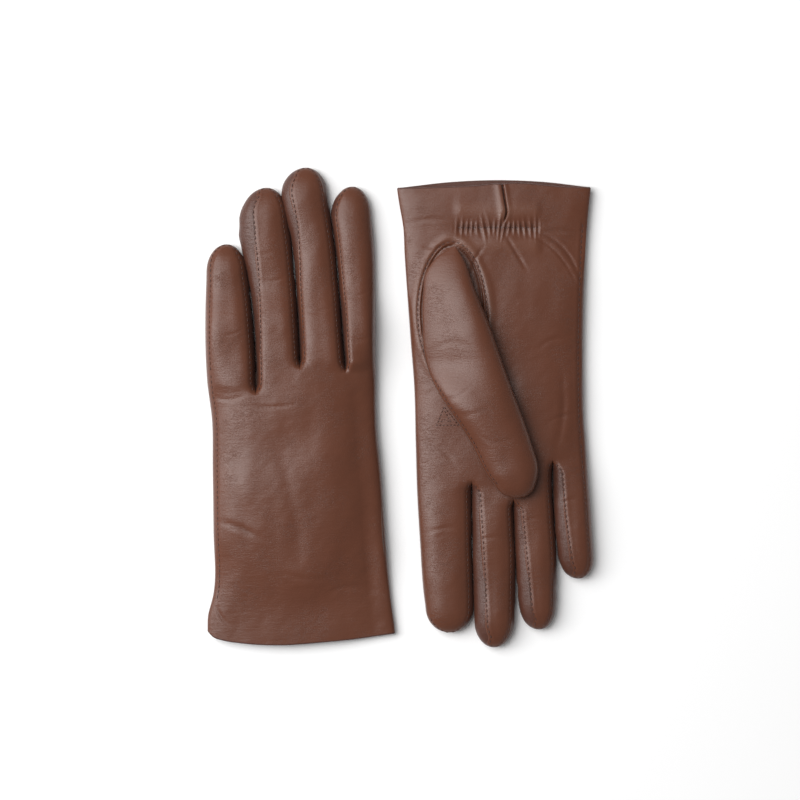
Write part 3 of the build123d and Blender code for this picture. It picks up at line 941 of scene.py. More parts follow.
walls = []
for side in GLOVES:
    for number, finger in enumerate(FINGERS):
        for high_side, name in fourchette_names(finger).items():
            points, normals = wall_sheet(side, number, high_side)
            wall = grid_piece(f"{side}_{name}_strip", side, points, normals)
            wall = keep_skin_normals(wall)
            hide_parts(f"{side}_{name}")
            bend_with(wall, side, finger)
            walls.append(wall)
print("fourchettes:", len(walls))

# %% [markdown]
# At the cuff the leather is turned in over a soft edge and sewn down, which makes the hem, and
# the knitted lining starts where the hem ends. Both follow the skin's own surface, moved inwards
# along its directions: first round a half circle at the edge, then back along the inside.

# %% Hem and hand lining
# The rounded edge, how much further than a half circle it bulges, how many rows of the skin
# the hem covers, and how much deeper it lies at its last one.
HEM_RADIUS = 0.75
HEM_BULGE = 1.1
HEM_SINKS = 0.25
HEM_ROWS = 13
TURN_STEPS = 6
LINING_DEPTH = 2.3
LINING_ENDS = 18
# The lining keeps every third row and column of the skin.
LINING_EVERY = 3


def hem_grid(sheet):
    """A half round at the cuff's edge, and a flat band back along the inside."""
    edge, square = sheet["points"][0], sheet["normals"][0]
    outwards = np.array([0.0, -1.0, 0.0])
    points, normals = [], []
    for turn in np.linspace(0, math.pi, TURN_STEPS + 1):
        points.append(edge - square * HEM_RADIUS * (1 - math.cos(turn))
                      + outwards * HEM_RADIUS * HEM_BULGE * math.sin(turn))
        normals.append(square * math.cos(turn) + outwards * math.sin(turn))
    for row in range(1, HEM_ROWS + 1):
        deeper = 2 * HEM_RADIUS + HEM_SINKS * row / HEM_ROWS
        points.append(sheet["points"][row] - sheet["normals"][row] * deeper)
        normals.append(-sheet["normals"][row])
    return np.array(points), np.array(normals)


def lining_grid(sheet, first, last, depth):
    """A coarser copy of part of a skin, moved inwards."""
    rows = list(range(first, last, LINING_EVERY)) + [last]
    columns = list(range(0, sheet["points"].shape[1] - 1, LINING_EVERY)) + [-1]
    points = (sheet["points"] - sheet["normals"] * depth)[rows][:, columns]
    return points, -sheet["normals"][rows][:, columns]


for side, sheets in SHEETS.items():
    hems, linings = [], []
    last_row = round(LINING_ENDS - first_row(side))
    for (face, number), sheet in sheets.items():
        hems.append(grid_piece(f"{side}_hem_{face}_{number}", side, *hem_grid(sheet)))
        inner = lining_grid(sheet, HEM_ROWS - 3, last_row, LINING_DEPTH)
        linings.append(grid_piece(f"{side}_lining_{face}_{number}", side, *inner))
    hem = keep_skin_normals(join(hems, f"{side}_turned_hem"))
    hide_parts(f"{side}_cuff_hem")
    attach(hem, f"{side}_hand")
    lining = keep_skin_normals(join(linings, f"{side}_palm_lining"))
    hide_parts(f"{side}_hand_lining")
    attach(lining, f"{side}_hand")
    print(side, "hem and lining faces:", len(hem.data.polygons), len(lining.data.polygons))

# %% [markdown]
# Each finger has its own tube of lining inside the leather, closed at the tip. It is never seen,
# so it is coarse, but it is there, as it is in the glove.

# %% Finger linings
TUBE_AROUND = 24
TUBE_ALONG = 30
# How far the tube starts beyond the skin's own start, and how far it stays inside the leather
# at the tip, at the sides, above and below.
TUBE_START, TUBE_TIP, TUBE_SIDE, TUBE_TOP, TUBE_UNDER = 10, 2.4, 3.0, 2.2, 1.8


def lining_tube(side, number):
    """A round tube inside a finger, closed at the fingertip."""
    finger = GLOVES[side]["fingers"][FINGERS[number]]
    start = JOIN_V[number] + TUBE_START
    length = finger["tip"] - TUBE_TIP - start
    rows = start + length * np.sin(np.linspace(0, math.pi / 2, TUBE_ALONG + 1))
    v = np.repeat(rows[:, None], TUBE_AROUND + 1, axis=1)
    turn = np.linspace(0, 2 * math.pi, TUBE_AROUND + 1)[None, :]
    low, high = column_edges(side, "top", number, v)
    closing = np.sqrt(np.clip(1 - ((v - start) / length) ** 8, 0, 1))
    half = np.maximum((high - low) / 2 - TUBE_SIDE, 0.5) * closing
    u = (low + high) / 2 + half * np.cos(turn)
    top = smooth_height(side, "top", number, (low + high) / 2, v) - TUBE_TOP
    under = smooth_height(side, "under", number, (low + high) / 2, v) + TUBE_UNDER
    z = (top + under) / 2 + np.maximum(top - under, 0.6) / 2 * 0.8 * closing * np.sin(turn)
    points = np.stack([u, v, z], axis=2)
    normals = np.stack([np.cos(turn) + 0 * v, 0 * v, np.sin(turn) + 0 * v], axis=2)
    return points, normals


for side in GLOVES:
    for number, finger in enumerate(FINGERS):
        tube = grid_piece(f"{side}_{finger}_lining_tube", side, *lining_tube(side, number))
        tube = keep_skin_normals(join([tube], tube.name))
        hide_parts(f"{side}_{finger}_lining")
        bend_with(tube, side, finger)
print("finger linings:", 4 * len(GLOVES))

# %% [markdown]
# The thumb is cut on its own and sewn into an oval hole in the palm. On the right glove it lies
# across the palm: one of its edges is sewn down along the hole and the other is a free fold that
# overhangs the palm, so the two edges have different heights near the root and the same height
# further on. The left thumb is the same shape pressed flat beneath the hand.

# %% Thumbs
THUMB_LOW = {"right": [(-84.6, 22.6), (-78, 18.5), (-62, 12.6), (-44, 5.2), (-28, -0.4), (-10, -6.8),
                       (6, -12.8), (19, -17.2), (33, -20.6), (40, -19.4)],
             "left": [(-84, 18), (-62, 8), (-38, 3), (-14, -5), (8, -13.4), (24, -17), (29, -16.6)]}
THUMB_HIGH = {"right": [(-84.6, 23.4), (-80, 31), (-73.7, 36.6), (-59, 39.7), (-44, 40), (-26, 38.6),
                        (-14.5, 35), (-4, 29.4), (5.6, 22.9), (19.3, 14.2), (32, 8), (40, 3.4)],
              "left": [(-84, 27), (-66, 37), (-38, 38.2), (-14, 33.2), (8, 18.4), (24, 8.6), (29, 5.6)]}
THUMB_TIP = {"right": 47.6, "left": 36.0}
THUMB_RISE = {"right": [(-84.6, 0.4), (-78, 3.4), (-66, 7.6), (-48, 11), (-20, 12.2), (10, 11.8),
                        (30, 11), (47.6, 10)],
              "left": [(-84, 1.5), (-70, 4.4), (36, 4.5)]}
THUMB_FLOOR = {"right": 12.35, "left": 0.25}
THUMB_COLUMNS = {"top": 64, "under": 24}
# The length of the thumb's rounded tip, the height of its edges as a share of its own and of
# its sewn edge, where that edge comes free of the palm, and its lining's start and depth.
THUMB_ROUND = 16
THUMB_EDGE, SEWN_EDGE = 0.42, 0.1
SEWN_ENDS = (-26, 4)
THUMB_LINING_START = {"left": -12, "right": -24}
THUMB_LINING_DEPTH = {"left": 1.2, "right": 2.0}
THUMB_CREASES = [
    ([(36, -8), (26, -4), (14, -12)], 0.5, 1.6),
    ([(30, -2), (20, 4), (6, 0)], 0.5, 1.8),
    ([(12, 12), (2, 18), (-10, 14)], 0.35, 1.6),
    ([(34, -30), (24, -34), (12, -30)], 0.4, 2.2),
]


def thumb_edges(side, v):
    """Both edges of the thumb, which close round its tip."""
    low, high = line(THUMB_LOW[side], v), line(THUMB_HIGH[side], v)
    shoulder = THUMB_LOW[side][-1][0] - 4
    beyond = np.clip((v - shoulder) / (THUMB_TIP[side] - shoulder), 0, 1)
    middle = (low + high) / 2 - 0.1 * np.maximum(v - shoulder, 0)
    closing = np.sqrt(np.clip(1 - beyond**2.2, 0, 1))
    half = (high - low) / 2 * closing
    return middle - half, middle + half


def thumb_rows(side):
    start = THUMB_LOW[side][0][0]
    shoulder = THUMB_LOW[side][-1][0] - 4
    along = np.linspace(start, shoulder, round(shoulder - start) + 1)
    turn = np.linspace(0, math.pi / 2, TIP_ROWS + 1)[1:]
    return np.concatenate([along, shoulder + (THUMB_TIP[side] - shoulder) * np.sin(turn)])


def thumb_height(side, face, u, v):
    """The height of the thumb, low at its sewn edge and at its tip."""
    low, high = thumb_edges(side, v)
    half = np.maximum((high - low) / 2, 0.01)
    x = np.clip((u - (low + high) / 2) / half, -1, 1)
    from_high = (1 - x) / 2
    beyond = np.clip((v - THUMB_TIP[side] + THUMB_ROUND) / THUMB_ROUND, 0, 1)
    tip = np.clip(1 - beyond**2.4, 0, 1) ** 0.55
    rise = line(THUMB_RISE[side], v)
    free = step(v, *SEWN_ENDS) if side == "right" else 1
    low_edge = THUMB_EDGE * rise
    high_edge = THUMB_EDGE * rise * free + SEWN_EDGE * (1 - free)
    edge = high_edge + (low_edge - high_edge) * from_high
    sewn = np.clip(from_high, 0, 1) ** 0.62 * superellipse(from_high, 7, 1.8) * 1.04
    round_ = superellipse(x, 2.5, 1.9)
    if face == "top":
        shape = sewn + (round_ - sewn) * free
        height = edge + (rise * tip - edge * tip) * shape
        relief = 0.2 * waves(u, v, 15, 34) + 0.05 * waves(u, v, 16, 11)
        relief = relief + sum(crease(u, v, *fold) for fold in THUMB_CREASES)
        seam = seam_pull(high - u - 0.4, v) * step(v, -16, -8)
        height = height + (relief + seam) * superellipse(x, 6, 1) * step(v, -84, -74) * tip
    else:
        height = edge - edge * superellipse(x, 3.0, 1.8) * tip
    return THUMB_FLOOR[side] + height


def thumb_sheet(side, face):
    rows = thumb_rows(side)
    columns = THUMB_COLUMNS[face]
    v = np.repeat(rows[:, None], columns + 1, axis=1)
    low, high = thumb_edges(side, v)
    u = low + (high - low) * spread(columns)[None, :]
    points = np.stack([u, v, thumb_height(side, face, u, v)], axis=2)
    normals = grid_normals(points)
    if face == "under":
        normals = -normals
    return dict(points=points, normals=normals, rows=rows)


print("thumb lengths in mm:", {side: THUMB_TIP[side] - THUMB_LOW[side][0][0] for side in GLOVES})

# %% [markdown]
# Both thumbs have their own hinge in the frame, but the thumb skins are only baked in place and
# are not attached to a body, so they have no blend. The lining of each thumb rides on the thumb's body.

# %% Skins and linings of the thumbs
for side in GLOVES:
    sheets = {face: thumb_sheet(side, face) for face in ("top", "under")}
    share_normals(list(sheets.values()))
    parts = [grid_piece(f"{side}_thumb_{face}", side, sheet["points"], sheet["normals"])
             for face, sheet in sheets.items()]
    thumb = keep_skin_normals(join(parts, f"{side}_thumb_skin"))
    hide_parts(f"{side}_thumb_leather", f"{side}_thumb_base_leather")
    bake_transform(thumb)
    inner = []
    for face, sheet in sheets.items():
        first = np.searchsorted(sheet["rows"], THUMB_LINING_START[side])
        last = np.searchsorted(sheet["rows"], THUMB_TIP[side] - 6)
        tube = lining_grid(sheet, first, last, THUMB_LINING_DEPTH[side])
        inner.append(grid_piece(f"{side}_thumb_lining_{face}", side, *tube))
    lining = keep_skin_normals(join(inner, f"{side}_thumb_lining_tube"))
    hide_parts(f"{side}_thumb_lining")
    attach(lining, f"{side}_thumb")
    print(side, "thumb faces:", len(thumb.data.polygons))

# %% [markdown]
# The wrist elastic is a narrow band sewn to the inside of the palm leather. It is a strip that
# follows the gathers a little below the skin, given its thickness by a Solidify modifier.

# %% Wrist elastic
ELASTIC_HALF_WIDTH = 2.5
ELASTIC_THICKNESS = 0.6
ELASTIC_DEPTH = 1.2


def palm_column(side, u, v):
    """Which finger's column of the palm each point lies in."""
    face = "top" if side == "right" else "under"
    number = np.zeros(np.shape(u), int)
    for gap in range(3):
        number = np.where(u > column_edges(side, face, gap, v)[1], gap + 1, number)
    return number


def palm_height(side, u, v):
    """The height of the palm, which is the top of the right glove and the underside of the left."""
    height = top_height if side == "right" else under_height
    number = palm_column(side, u, v)
    z = np.zeros(np.shape(u))
    for column in range(4):
        z = np.where(number == column, height(side, column, u, v), z)
    return z


for side in GLOVES:
    inwards = -1 if side == "right" else 1
    u, v = np.meshgrid(np.linspace(ELASTIC_ENDS[0], ELASTIC_ENDS[1], 61),
                       ELASTIC_V + np.linspace(-ELASTIC_HALF_WIDTH, ELASTIC_HALF_WIDTH, 9))
    z = palm_height(side, u, v) + inwards * ELASTIC_DEPTH
    points = np.stack([u, v, z], axis=2)
    band = grid_piece(f"{side}_elastic_band", side, points, -inwards * np.abs(grid_normals(points)))
    solid = band.modifiers.new("thickness", "SOLIDIFY")
    solid.thickness = ELASTIC_THICKNESS * MM
    solid.offset = -1
    select(band)
    bpy.ops.object.modifier_apply(modifier="thickness")
    bpy.ops.object.shade_smooth_by_angle(angle=math.radians(50))
    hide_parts(f"{side}_wrist_elastic")
    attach(band, f"{side}_hand")
print("elastic length in mm:", ELASTIC_ENDS[1] - ELASTIC_ENDS[0])

# %% [markdown]
# Every stitch is one small thread, thick in its middle and diving into the leather at both
# ends. It is modelled once, from a sphere that is stretched and bent, and then copied along each
# seam: a seam is a path on the surface, divided evenly, and each copy is turned along the path
# and square to the leather.

# %% One stitch
THREAD_WIDTH = 0.52
THREAD_LENGTH = 2.0
THREAD_LIFT = 0.1
select()
bpy.ops.mesh.primitive_uv_sphere_add(segments=8, ring_count=7, radius=0.5)
bpy.ops.transform.rotate(value=math.pi / 2, orient_axis="Y", center_override=(0, 0, 0))
pattern = bpy.context.object
bpy.ops.object.transform_apply(location=False, rotation=True, scale=True)
STITCH_POINTS = np.array([vertex.co for vertex in pattern.data.vertices])
STITCH_FACES = [tuple(face.vertices) for face in pattern.data.polygons]
bpy.data.objects.remove(pattern)
STITCH_POINTS[:, 2] -= 1.1 * STITCH_POINTS[:, 0] ** 2
print("faces in one stitch:", len(STITCH_FACES))


# %% Stitches along a path
def walk(path, pitch):
    """Even places along a path of (u, v) points, and the direction there."""
    path = np.array(path, float)
    leg = np.linalg.norm(np.diff(path, axis=0), axis=1)
    run = np.concatenate([[0], np.cumsum(leg)])
    count = max(1, round(run[-1] / pitch))
    spots = (np.arange(count) + 0.5) / count * run[-1]
    place, ahead, behind = (np.stack([np.interp(spots + shift, run, path[:, axis])
                                      for axis in (0, 1)], axis=1) for shift in (0, 0.6, -0.6))
    return place, unit(ahead - behind)


def stitches(name, side, rows, outwards=1):
    """Threads along several rows. A row is (path, height function, pitch, length)."""
    chance = np.random.default_rng(len(name))
    x, y, h = STITCH_POINTS.T
    threads, strands = [], []
    for path, height, pitch, length in rows:
        place, heading = walk(path, pitch)
        aside = np.stack([-heading[:, 1], heading[:, 0]], axis=1)

        def raised(spots, height=height):
            return np.column_stack([spots, height(spots[:, 0], spots[:, 1])])

        along = unit(raised(place + 0.5 * heading) - raised(place - 0.5 * heading))
        across = raised(place + 0.5 * aside) - raised(place - 0.5 * aside)
        across = unit(across - along * (across * along).sum(axis=1, keepdims=True))
        square = np.cross(along, across)
        square *= np.sign(square[:, 2:]) * outwards
        turn = chance.uniform(-0.07, 0.07, (len(place), 1))
        along, across = along + across * turn, across - along * turn
        width = THREAD_WIDTH * chance.uniform(0.9, 1.1, (len(place), 1))
        thread = (raised(place)[:, None] + along[:, None] * x[None, :, None] * length
                  + across[:, None] * (y * width)[..., None]
                  + square[:, None] * (h * width * 0.9 + THREAD_LIFT)[..., None])
        threads.append(thread)
        strand = unit(STITCH_POINTS * (0, 1, 1))
        strand[:, 0] = x * length
        strands.append(np.broadcast_to(strand, thread.shape))
    points = np.concatenate(threads)
    faces = [tuple(start * len(STITCH_POINTS) + corner for corner in face)
             for start in range(len(points)) for face in STITCH_FACES]
    mesh = bpy.data.meshes.new(name)
    mesh.from_pydata(to_frame(side, points.reshape(-1, 3)).tolist(), [], faces)
    keep_on_points(mesh, "strand", np.concatenate(strands))
    piece = bpy.data.objects.new(name, mesh)
    bpy.context.collection.objects.link(piece)
    select(piece)
    edit_all((bpy.ops.mesh.normals_make_consistent, {"inside": False}))
    bpy.ops.object.shade_smooth()
    return piece


print("threads can be laid along a path")

# %% [markdown]
# The leather of a finger is sewn to its side walls, so each finger has a row of stitches along
# both inner edges, which meet round the tip. The little finger's outer row goes on as the
# outseam of the hand, and the index finger, which is folded there, has none.

# %% Seams of the fingers
def finger_seams(side, number):
    """The seam along a finger's inner sides, up to and round its tip."""
    finger = GLOVES[side]["fingers"][FINGERS[number]]
    rows = []
    for high_side in (False, True):
        outer = (number == 3 and high_side) or (number == 0 and not high_side)
        gap = number if high_side else number - 1
        start = JOIN_V[number] if outer else slit_at(side, "top", gap) + 0.8
        if outer and number == 3:
            start = finger["tip"] - 7
        v = np.concatenate([np.arange(start, finger["tip"] - 8, 1.5),
                            finger["tip"] - 8 + 8 * np.sin(np.linspace(0, math.pi / 2, 30))])
        low, high = column_edges(side, "top", number, v)
        inset = seam_insets(side, number, v)[1 if high_side else 0]
        away = inset + STITCH_INSET
        if outer and number == 0:
            away = OUTSEAM_INSET + (STITCH_INSET - OUTSEAM_INSET) * step(
                v, finger["tip"] - 16, finger["tip"] - 4)
        inside = (high - low) / 2 > away + 0.2
        u = (high - away) if high_side else (low + away)
        path = list(zip(u[inside], v[inside]))

        def height(a, b, number=number):
            return top_height(side, number, a, b)

        rows.append((path, height, STITCH_PITCH, THREAD_LENGTH))
    return rows


for side in GLOVES:
    for number, finger in enumerate(FINGERS):
        threads = stitches(f"{side}_{finger}_seam_threads", side, finger_seams(side, number))
        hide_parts(f"{side}_{finger}_stitches")
        bend_with(threads, side, finger)
print("threads of the fingers are in place")

# %% [markdown]
# The hand has three more seams: the outseam along the little-finger side, the row round the
# thumb hole with its small triangle of reinforcement, and the row that holds the elastic. The
# last two are on the palm, which is the upper face of the right glove and the under face of the
# left one.

# %% Seams of the hand and thumb
THUMB_SEAM_INSET = 1.7
HOLE_SEAM_OUTSIDE = 2.1
TRIANGLE = [(28.6, -0.4), (32.4, 9.4), (21.2, 9.2), (28.6, -0.4)]
ZIGZAG = [(28.4, 1.5), (25.2, 7.6), (28.6, 6.4), (30.6, 7.8)]


def little_height(side):
    return lambda u, v: top_height(side, 0, u, v)


def palm_surface(side):
    return lambda u, v: palm_height(side, np.asarray(u), np.asarray(v))


def thumb_surface(side):
    return lambda u, v: thumb_height(side, "top", u, v)


for side in GLOVES:
    outwards = 1 if side == "right" else -1
    v = np.arange(OUTSEAM_START[side], JOIN_V[0] - 0.5, 1.5)
    low = column_edges(side, "top", 0, v)[0]
    row = list(zip(low + OUTSEAM_INSET, v))
    rows = [(row, little_height(side), STITCH_PITCH, THREAD_LENGTH)]
    outseam = stitches(f"{side}_outseam_threads", side, rows)
    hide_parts(f"{side}_outseam_stitches")
    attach(outseam, f"{side}_hand")

    turn = np.linspace(0, 2 * math.pi, 80)
    oval = list(zip(HOLE_CENTRE[0] + (HOLE_HALF[0] + HOLE_SEAM_OUTSIDE) * np.cos(turn),
                    HOLE_CENTRE[1] + (HOLE_HALF[1] + HOLE_SEAM_OUTSIDE) * np.sin(turn)))
    rows = [(oval, palm_surface(side), STITCH_PITCH, THREAD_LENGTH),
            (TRIANGLE, palm_surface(side), 1.9, 1.4), (ZIGZAG, palm_surface(side), 1.8, 1.3)]
    hole = stitches(f"{side}_thumb_hole_threads", side, rows, outwards)
    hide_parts(f"{side}_thumb_hole_stitches")
    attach(hole, f"{side}_hand")

    u = np.linspace(ELASTIC_ENDS[0], ELASTIC_ENDS[1], 90)
    row = [(list(zip(u, 0 * u + ELASTIC_V)), palm_surface(side), 1.45, 1.1)]
    gathers = stitches(f"{side}_elastic_threads", side, row, outwards)
    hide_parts(f"{side}_elastic_stitches")
    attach(gathers, f"{side}_hand")

    v = np.arange(-15, THUMB_TIP[side] - 7, 1.5)
    path = list(zip(thumb_edges(side, v)[1] - THUMB_SEAM_INSET, v))
    row = [(path, thumb_surface(side), STITCH_PITCH, THREAD_LENGTH)]
    seam = stitches(f"{side}_thumb_threads", side, row)
    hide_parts(f"{side}_thumb_stitches")
    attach(seam, f"{side}_thumb")
print("threads of the hands and thumbs are in place")

# %% [markdown]
# Materials come next. Effects that several materials need are shader node groups: a fine grain
# for all leather, the uneven dye, the shade painted into folds, and a row pattern for knitted
# and woven cloth. A small helper adds a node and sets its sockets, so that each group reads as a
# list of what happens to the pattern.

# %% Helpers for shader nodes
def plug(tree, socket, value):
    """Links a socket to another one, or gives it a plain value."""
    if isinstance(value, bpy.types.NodeSocket):
        tree.links.new(value, socket)
    else:
        socket.default_value = value


def add_node(tree, kind, inputs=None, **settings):
    """One shader node, with values or links for its sockets."""
    node = tree.nodes.new(f"ShaderNode{kind}")
    for name, value in settings.items():
        setattr(node, name, value)
    for name, value in (inputs or {}).items():
        plug(tree, node.inputs[name], value)
    return node


def maths(tree, operation, *values):
    node = add_node(tree, "Math", dict(enumerate(values)), operation=operation)
    return node.outputs[0]


def blend_color(tree, factor, first, second, kind="MIX"):
    node = add_node(tree, "Mix", data_type="RGBA", blend_type=kind)
    for number, value in ((0, factor), (6, first), (7, second)):
        plug(tree, node.inputs[number], value)
    return node.outputs[2]


def spread_range(tree, value, low, high, to_low=0.0, to_high=1.0):
    return add_node(tree, "MapRange", {"Value": value, "From Min": low, "From Max": high,
                                       "To Min": to_low, "To Max": to_high}).outputs[0]


def shader_group(name, inputs, outputs):
    """An empty group with its sockets: (name, kind, value) in, (name, kind) out."""
    group = bpy.data.node_groups.new(name, "ShaderNodeTree")
    for title, kind, value in inputs:
        socket = group.interface.new_socket(title, in_out="INPUT", socket_type=f"NodeSocket{kind}")
        if value is not None:
            socket.default_value = value
    for title, kind in outputs:
        group.interface.new_socket(title, in_out="OUTPUT", socket_type=f"NodeSocket{kind}")
    return group, group.nodes.new("NodeGroupInput").outputs, group.nodes.new("NodeGroupOutput").inputs


def place_group(tree, group, inputs):
    node = tree.nodes.new("ShaderNodeGroup")
    node.node_tree = group
    for name, value in inputs.items():
        plug(tree, node.inputs[name], value)
    return node.outputs


def new_material(name, **constants):
    """A material with its tree, its shader and the place of each point on the object."""
    material = bpy.data.materials.new(name)
    material.use_nodes = True
    tree = material.node_tree
    shader = tree.nodes["Principled BSDF"]
    for title, value in constants.items():
        shader.inputs[title.replace("_", " ")].default_value = value
    return material, tree, shader.inputs, add_node(tree, "TexCoord").outputs["Object"]


def add_bump(tree, height, strength, distance):
    return add_node(tree, "Bump", {"Height": height, "Strength": strength,
                                   "Distance": distance}).outputs[0]


print("helpers for shader nodes are ready")

# %% [markdown]
# Glove leather is lamb nappa: under a lens it has tiny soft pebbles, about half a millimetre
# across, and hair-thin wrinkles that run across the hand, because the leather is stretched the
# long way when it is cut. A cell pattern makes the pebbles, and a noise that is squeezed the
# long way and folded into thin lines makes the wrinkles.

# %% Grain of the leather
GRAIN, grain_in, grain_out = shader_group(
    "nappa grain", [("Position", "Vector", None), ("Pebble Size", "Float", 0.0006)],
    [("Height", "Float"), ("Wrinkles", "Float")])
size_up = maths(GRAIN, "DIVIDE", 1.0, grain_in["Pebble Size"])
bend_noise = add_node(GRAIN, "TexNoise", {"Vector": grain_in["Position"], "Scale": 420.0, "Detail": 2.0})
bent = add_node(GRAIN, "VectorMath", {0: bend_noise.outputs["Color"]}, operation="SCALE")
bent.inputs["Scale"].default_value = 0.0007
moved = add_node(GRAIN, "VectorMath", {0: grain_in["Position"], 1: bent.outputs[0]}, operation="ADD")
pebbles = add_node(GRAIN, "TexVoronoi", {"Vector": moved.outputs[0], "Scale": size_up},
                   feature="SMOOTH_F1")
pebbles.inputs["Smoothness"].default_value = 0.6
squeezed = add_node(GRAIN, "Mapping", {"Vector": moved.outputs[0], "Scale": (1.0, 4.2, 1.0)})
lines = add_node(GRAIN, "TexNoise", {"Vector": squeezed.outputs[0], "Scale": 260.0, "Detail": 3.0,
                                     "Roughness": 0.55})
ridge = maths(GRAIN, "ABSOLUTE", maths(GRAIN, "SUBTRACT", lines.outputs[0], 0.5))
thin = spread_range(GRAIN, ridge, 0.0, 0.035, 1.0, 0.0)
patches = add_node(GRAIN, "TexNoise", {"Vector": grain_in["Position"], "Scale": 70.0, "Detail": 1.0})
where = spread_range(GRAIN, patches.outputs[0], 0.42, 0.66)
wrinkles = maths(GRAIN, "MULTIPLY", thin, where)
soft = add_node(GRAIN, "TexNoise", {"Vector": squeezed.outputs[0], "Scale": 420.0, "Detail": 2.0})
height = maths(GRAIN, "SUBTRACT", 0.5, maths(GRAIN, "MULTIPLY", pebbles.outputs["Distance"], 0.45))
height = maths(GRAIN, "ADD", height, maths(GRAIN, "MULTIPLY", soft.outputs[0], 0.7))
height = maths(GRAIN, "SUBTRACT", height, maths(GRAIN, "MULTIPLY", wrinkles, 0.55))
long_way = add_node(GRAIN, "Mapping", {"Vector": moved.outputs[0], "Scale": (0.9, 6.0, 1.0)})
furrows = add_node(GRAIN, "TexNoise", {"Vector": long_way.outputs[0], "Scale": 120.0, "Detail": 2.0})
height = maths(GRAIN, "ADD", height, maths(GRAIN, "MULTIPLY", furrows.outputs[0], 0.9))
GRAIN.links.new(height, grain_out["Height"])
GRAIN.links.new(wrinkles, grain_out["Wrinkles"])
print(GRAIN.name, "has", len(GRAIN.nodes), "nodes")

# %% [markdown]
# The dye is never quite even: it has clouds a few centimetres wide and a finer mottle. Shade is
# painted into the colour where the skin is folded or sewn and in its fine wrinkles, while the ridges
# are rubbed a little paler. How deep a point lies in a fold was kept with each sheet as the attribute
# "fold".

# %% Uneven dye, and shade painted into folds
DYE, dye_in, dye_out = shader_group(
    "uneven dye", [("Position", "Vector", None), ("Dye", "Color", (0.5, 0.5, 0.5, 1)),
                   ("Deep Dye", "Color", (0.2, 0.2, 0.2, 1)), ("Mottle", "Float", 0.35)],
    [("Color", "Color")])
clouds = add_node(DYE, "TexNoise", {"Vector": dye_in["Position"], "Scale": 26.0, "Detail": 2.0})
specks = add_node(DYE, "TexNoise", {"Vector": dye_in["Position"], "Scale": 230.0, "Detail": 4.0,
                                    "Roughness": 0.6})
mixed = maths(DYE, "ADD", maths(DYE, "MULTIPLY", clouds.outputs[0], 0.6),
              maths(DYE, "MULTIPLY", specks.outputs[0], 0.4))
share = maths(DYE, "MULTIPLY", spread_range(DYE, mixed, 0.36, 0.64), dye_in["Mottle"])
DYE.links.new(blend_color(DYE, share, dye_in["Dye"], dye_in["Deep Dye"]), dye_out["Color"])

FOLD_SHADE_AND_RUB, fold_in, fold_out = shader_group(
    "shaded folds", [("Color", "Color", (0.5, 0.5, 0.5, 1)), ("Fold", "Float", 0.0),
                     ("Wrinkles", "Float", 0.0), ("Shade", "Float", 0.6), ("Rub", "Float", 0.2)],
    [("Color", "Color"), ("Rubbed", "Float")])
# Painted shade: the valleys of folds and the fine wrinkles are darkened towards a dark brown.
valley = spread_range(FOLD_SHADE_AND_RUB, fold_in["Fold"], -0.15, -1.3)
valley = maths(FOLD_SHADE_AND_RUB, "MAXIMUM", valley, maths(FOLD_SHADE_AND_RUB, "MULTIPLY", fold_in["Wrinkles"], 0.35))
shaded = blend_color(FOLD_SHADE_AND_RUB, maths(FOLD_SHADE_AND_RUB, "MULTIPLY", valley, fold_in["Shade"]), fold_in["Color"],
                     (0.030, 0.011, 0.007, 1))
ridge_top = spread_range(FOLD_SHADE_AND_RUB, fold_in["Fold"], 0.12, 0.8)
rubbed = maths(FOLD_SHADE_AND_RUB, "MULTIPLY", ridge_top, fold_in["Rub"])
FOLD_SHADE_AND_RUB.links.new(blend_color(FOLD_SHADE_AND_RUB, rubbed, shaded, (0.25, 0.13, 0.09, 1)), fold_out["Color"])
FOLD_SHADE_AND_RUB.links.new(rubbed, fold_out["Rubbed"])
print("groups:", GRAIN.name, DYE.name, FOLD_SHADE_AND_RUB.name)

# %% [markdown]
# One function makes a leather from these groups. The leather of the skins, the side walls, the
# thumbs and the turned hem is the same hide. The side walls are a darker copy, as painted shade for
# the slits they sit in, the hem is darker too, and both are less polished. Sheen and coat are plain
# numbers on the shader.

# %% Leathers
# The middle number is how strongly shade is painted into the folds and wrinkles.
PEBBLE_SIZE, PAINTED_FOLD_SHADE, RIDGE_RUB = 0.0006, 0.6, 0.2


def leather(name, dye, deep, roughness, grain=0.42):
    material, tree, shader, where = new_material(
        name, Specular_IOR_Level=0.36, Coat_Weight=0.06, Coat_Roughness=0.32,
        Sheen_Weight=0.05, Sheen_Roughness=0.4)
    fold = add_node(tree, "Attribute", attribute_name="fold").outputs["Fac"]
    pattern = place_group(tree, GRAIN, {"Position": where, "Pebble Size": PEBBLE_SIZE})
    color = place_group(tree, DYE, {"Position": where, "Dye": (*dye, 1), "Deep Dye": (*deep, 1)})
    # The colour gets painted shade in its folds and wrinkles, and its ridges are rubbed paler.
    fold_shade_and_rub = place_group(tree, FOLD_SHADE_AND_RUB, {"Color": color["Color"], "Fold": fold, "Rub": RIDGE_RUB,
                                         "Shade": PAINTED_FOLD_SHADE, "Wrinkles": pattern["Wrinkles"]})
    plug(tree, shader["Base Color"], fold_shade_and_rub["Color"])
    matt = spread_range(tree, pattern["Height"], 0.35, 0.95, roughness + 0.07, roughness - 0.05)
    matt = maths(tree, "SUBTRACT", matt, maths(tree, "MULTIPLY", fold_shade_and_rub["Rubbed"], 0.3))
    plug(tree, shader["Roughness"], matt)
    plug(tree, shader["Normal"], add_bump(tree, pattern["Height"], grain, 0.0002))
    return material


nappa = leather("chestnut nappa", (0.112, 0.0362, 0.0180), (0.082, 0.0256, 0.0123), 0.40)
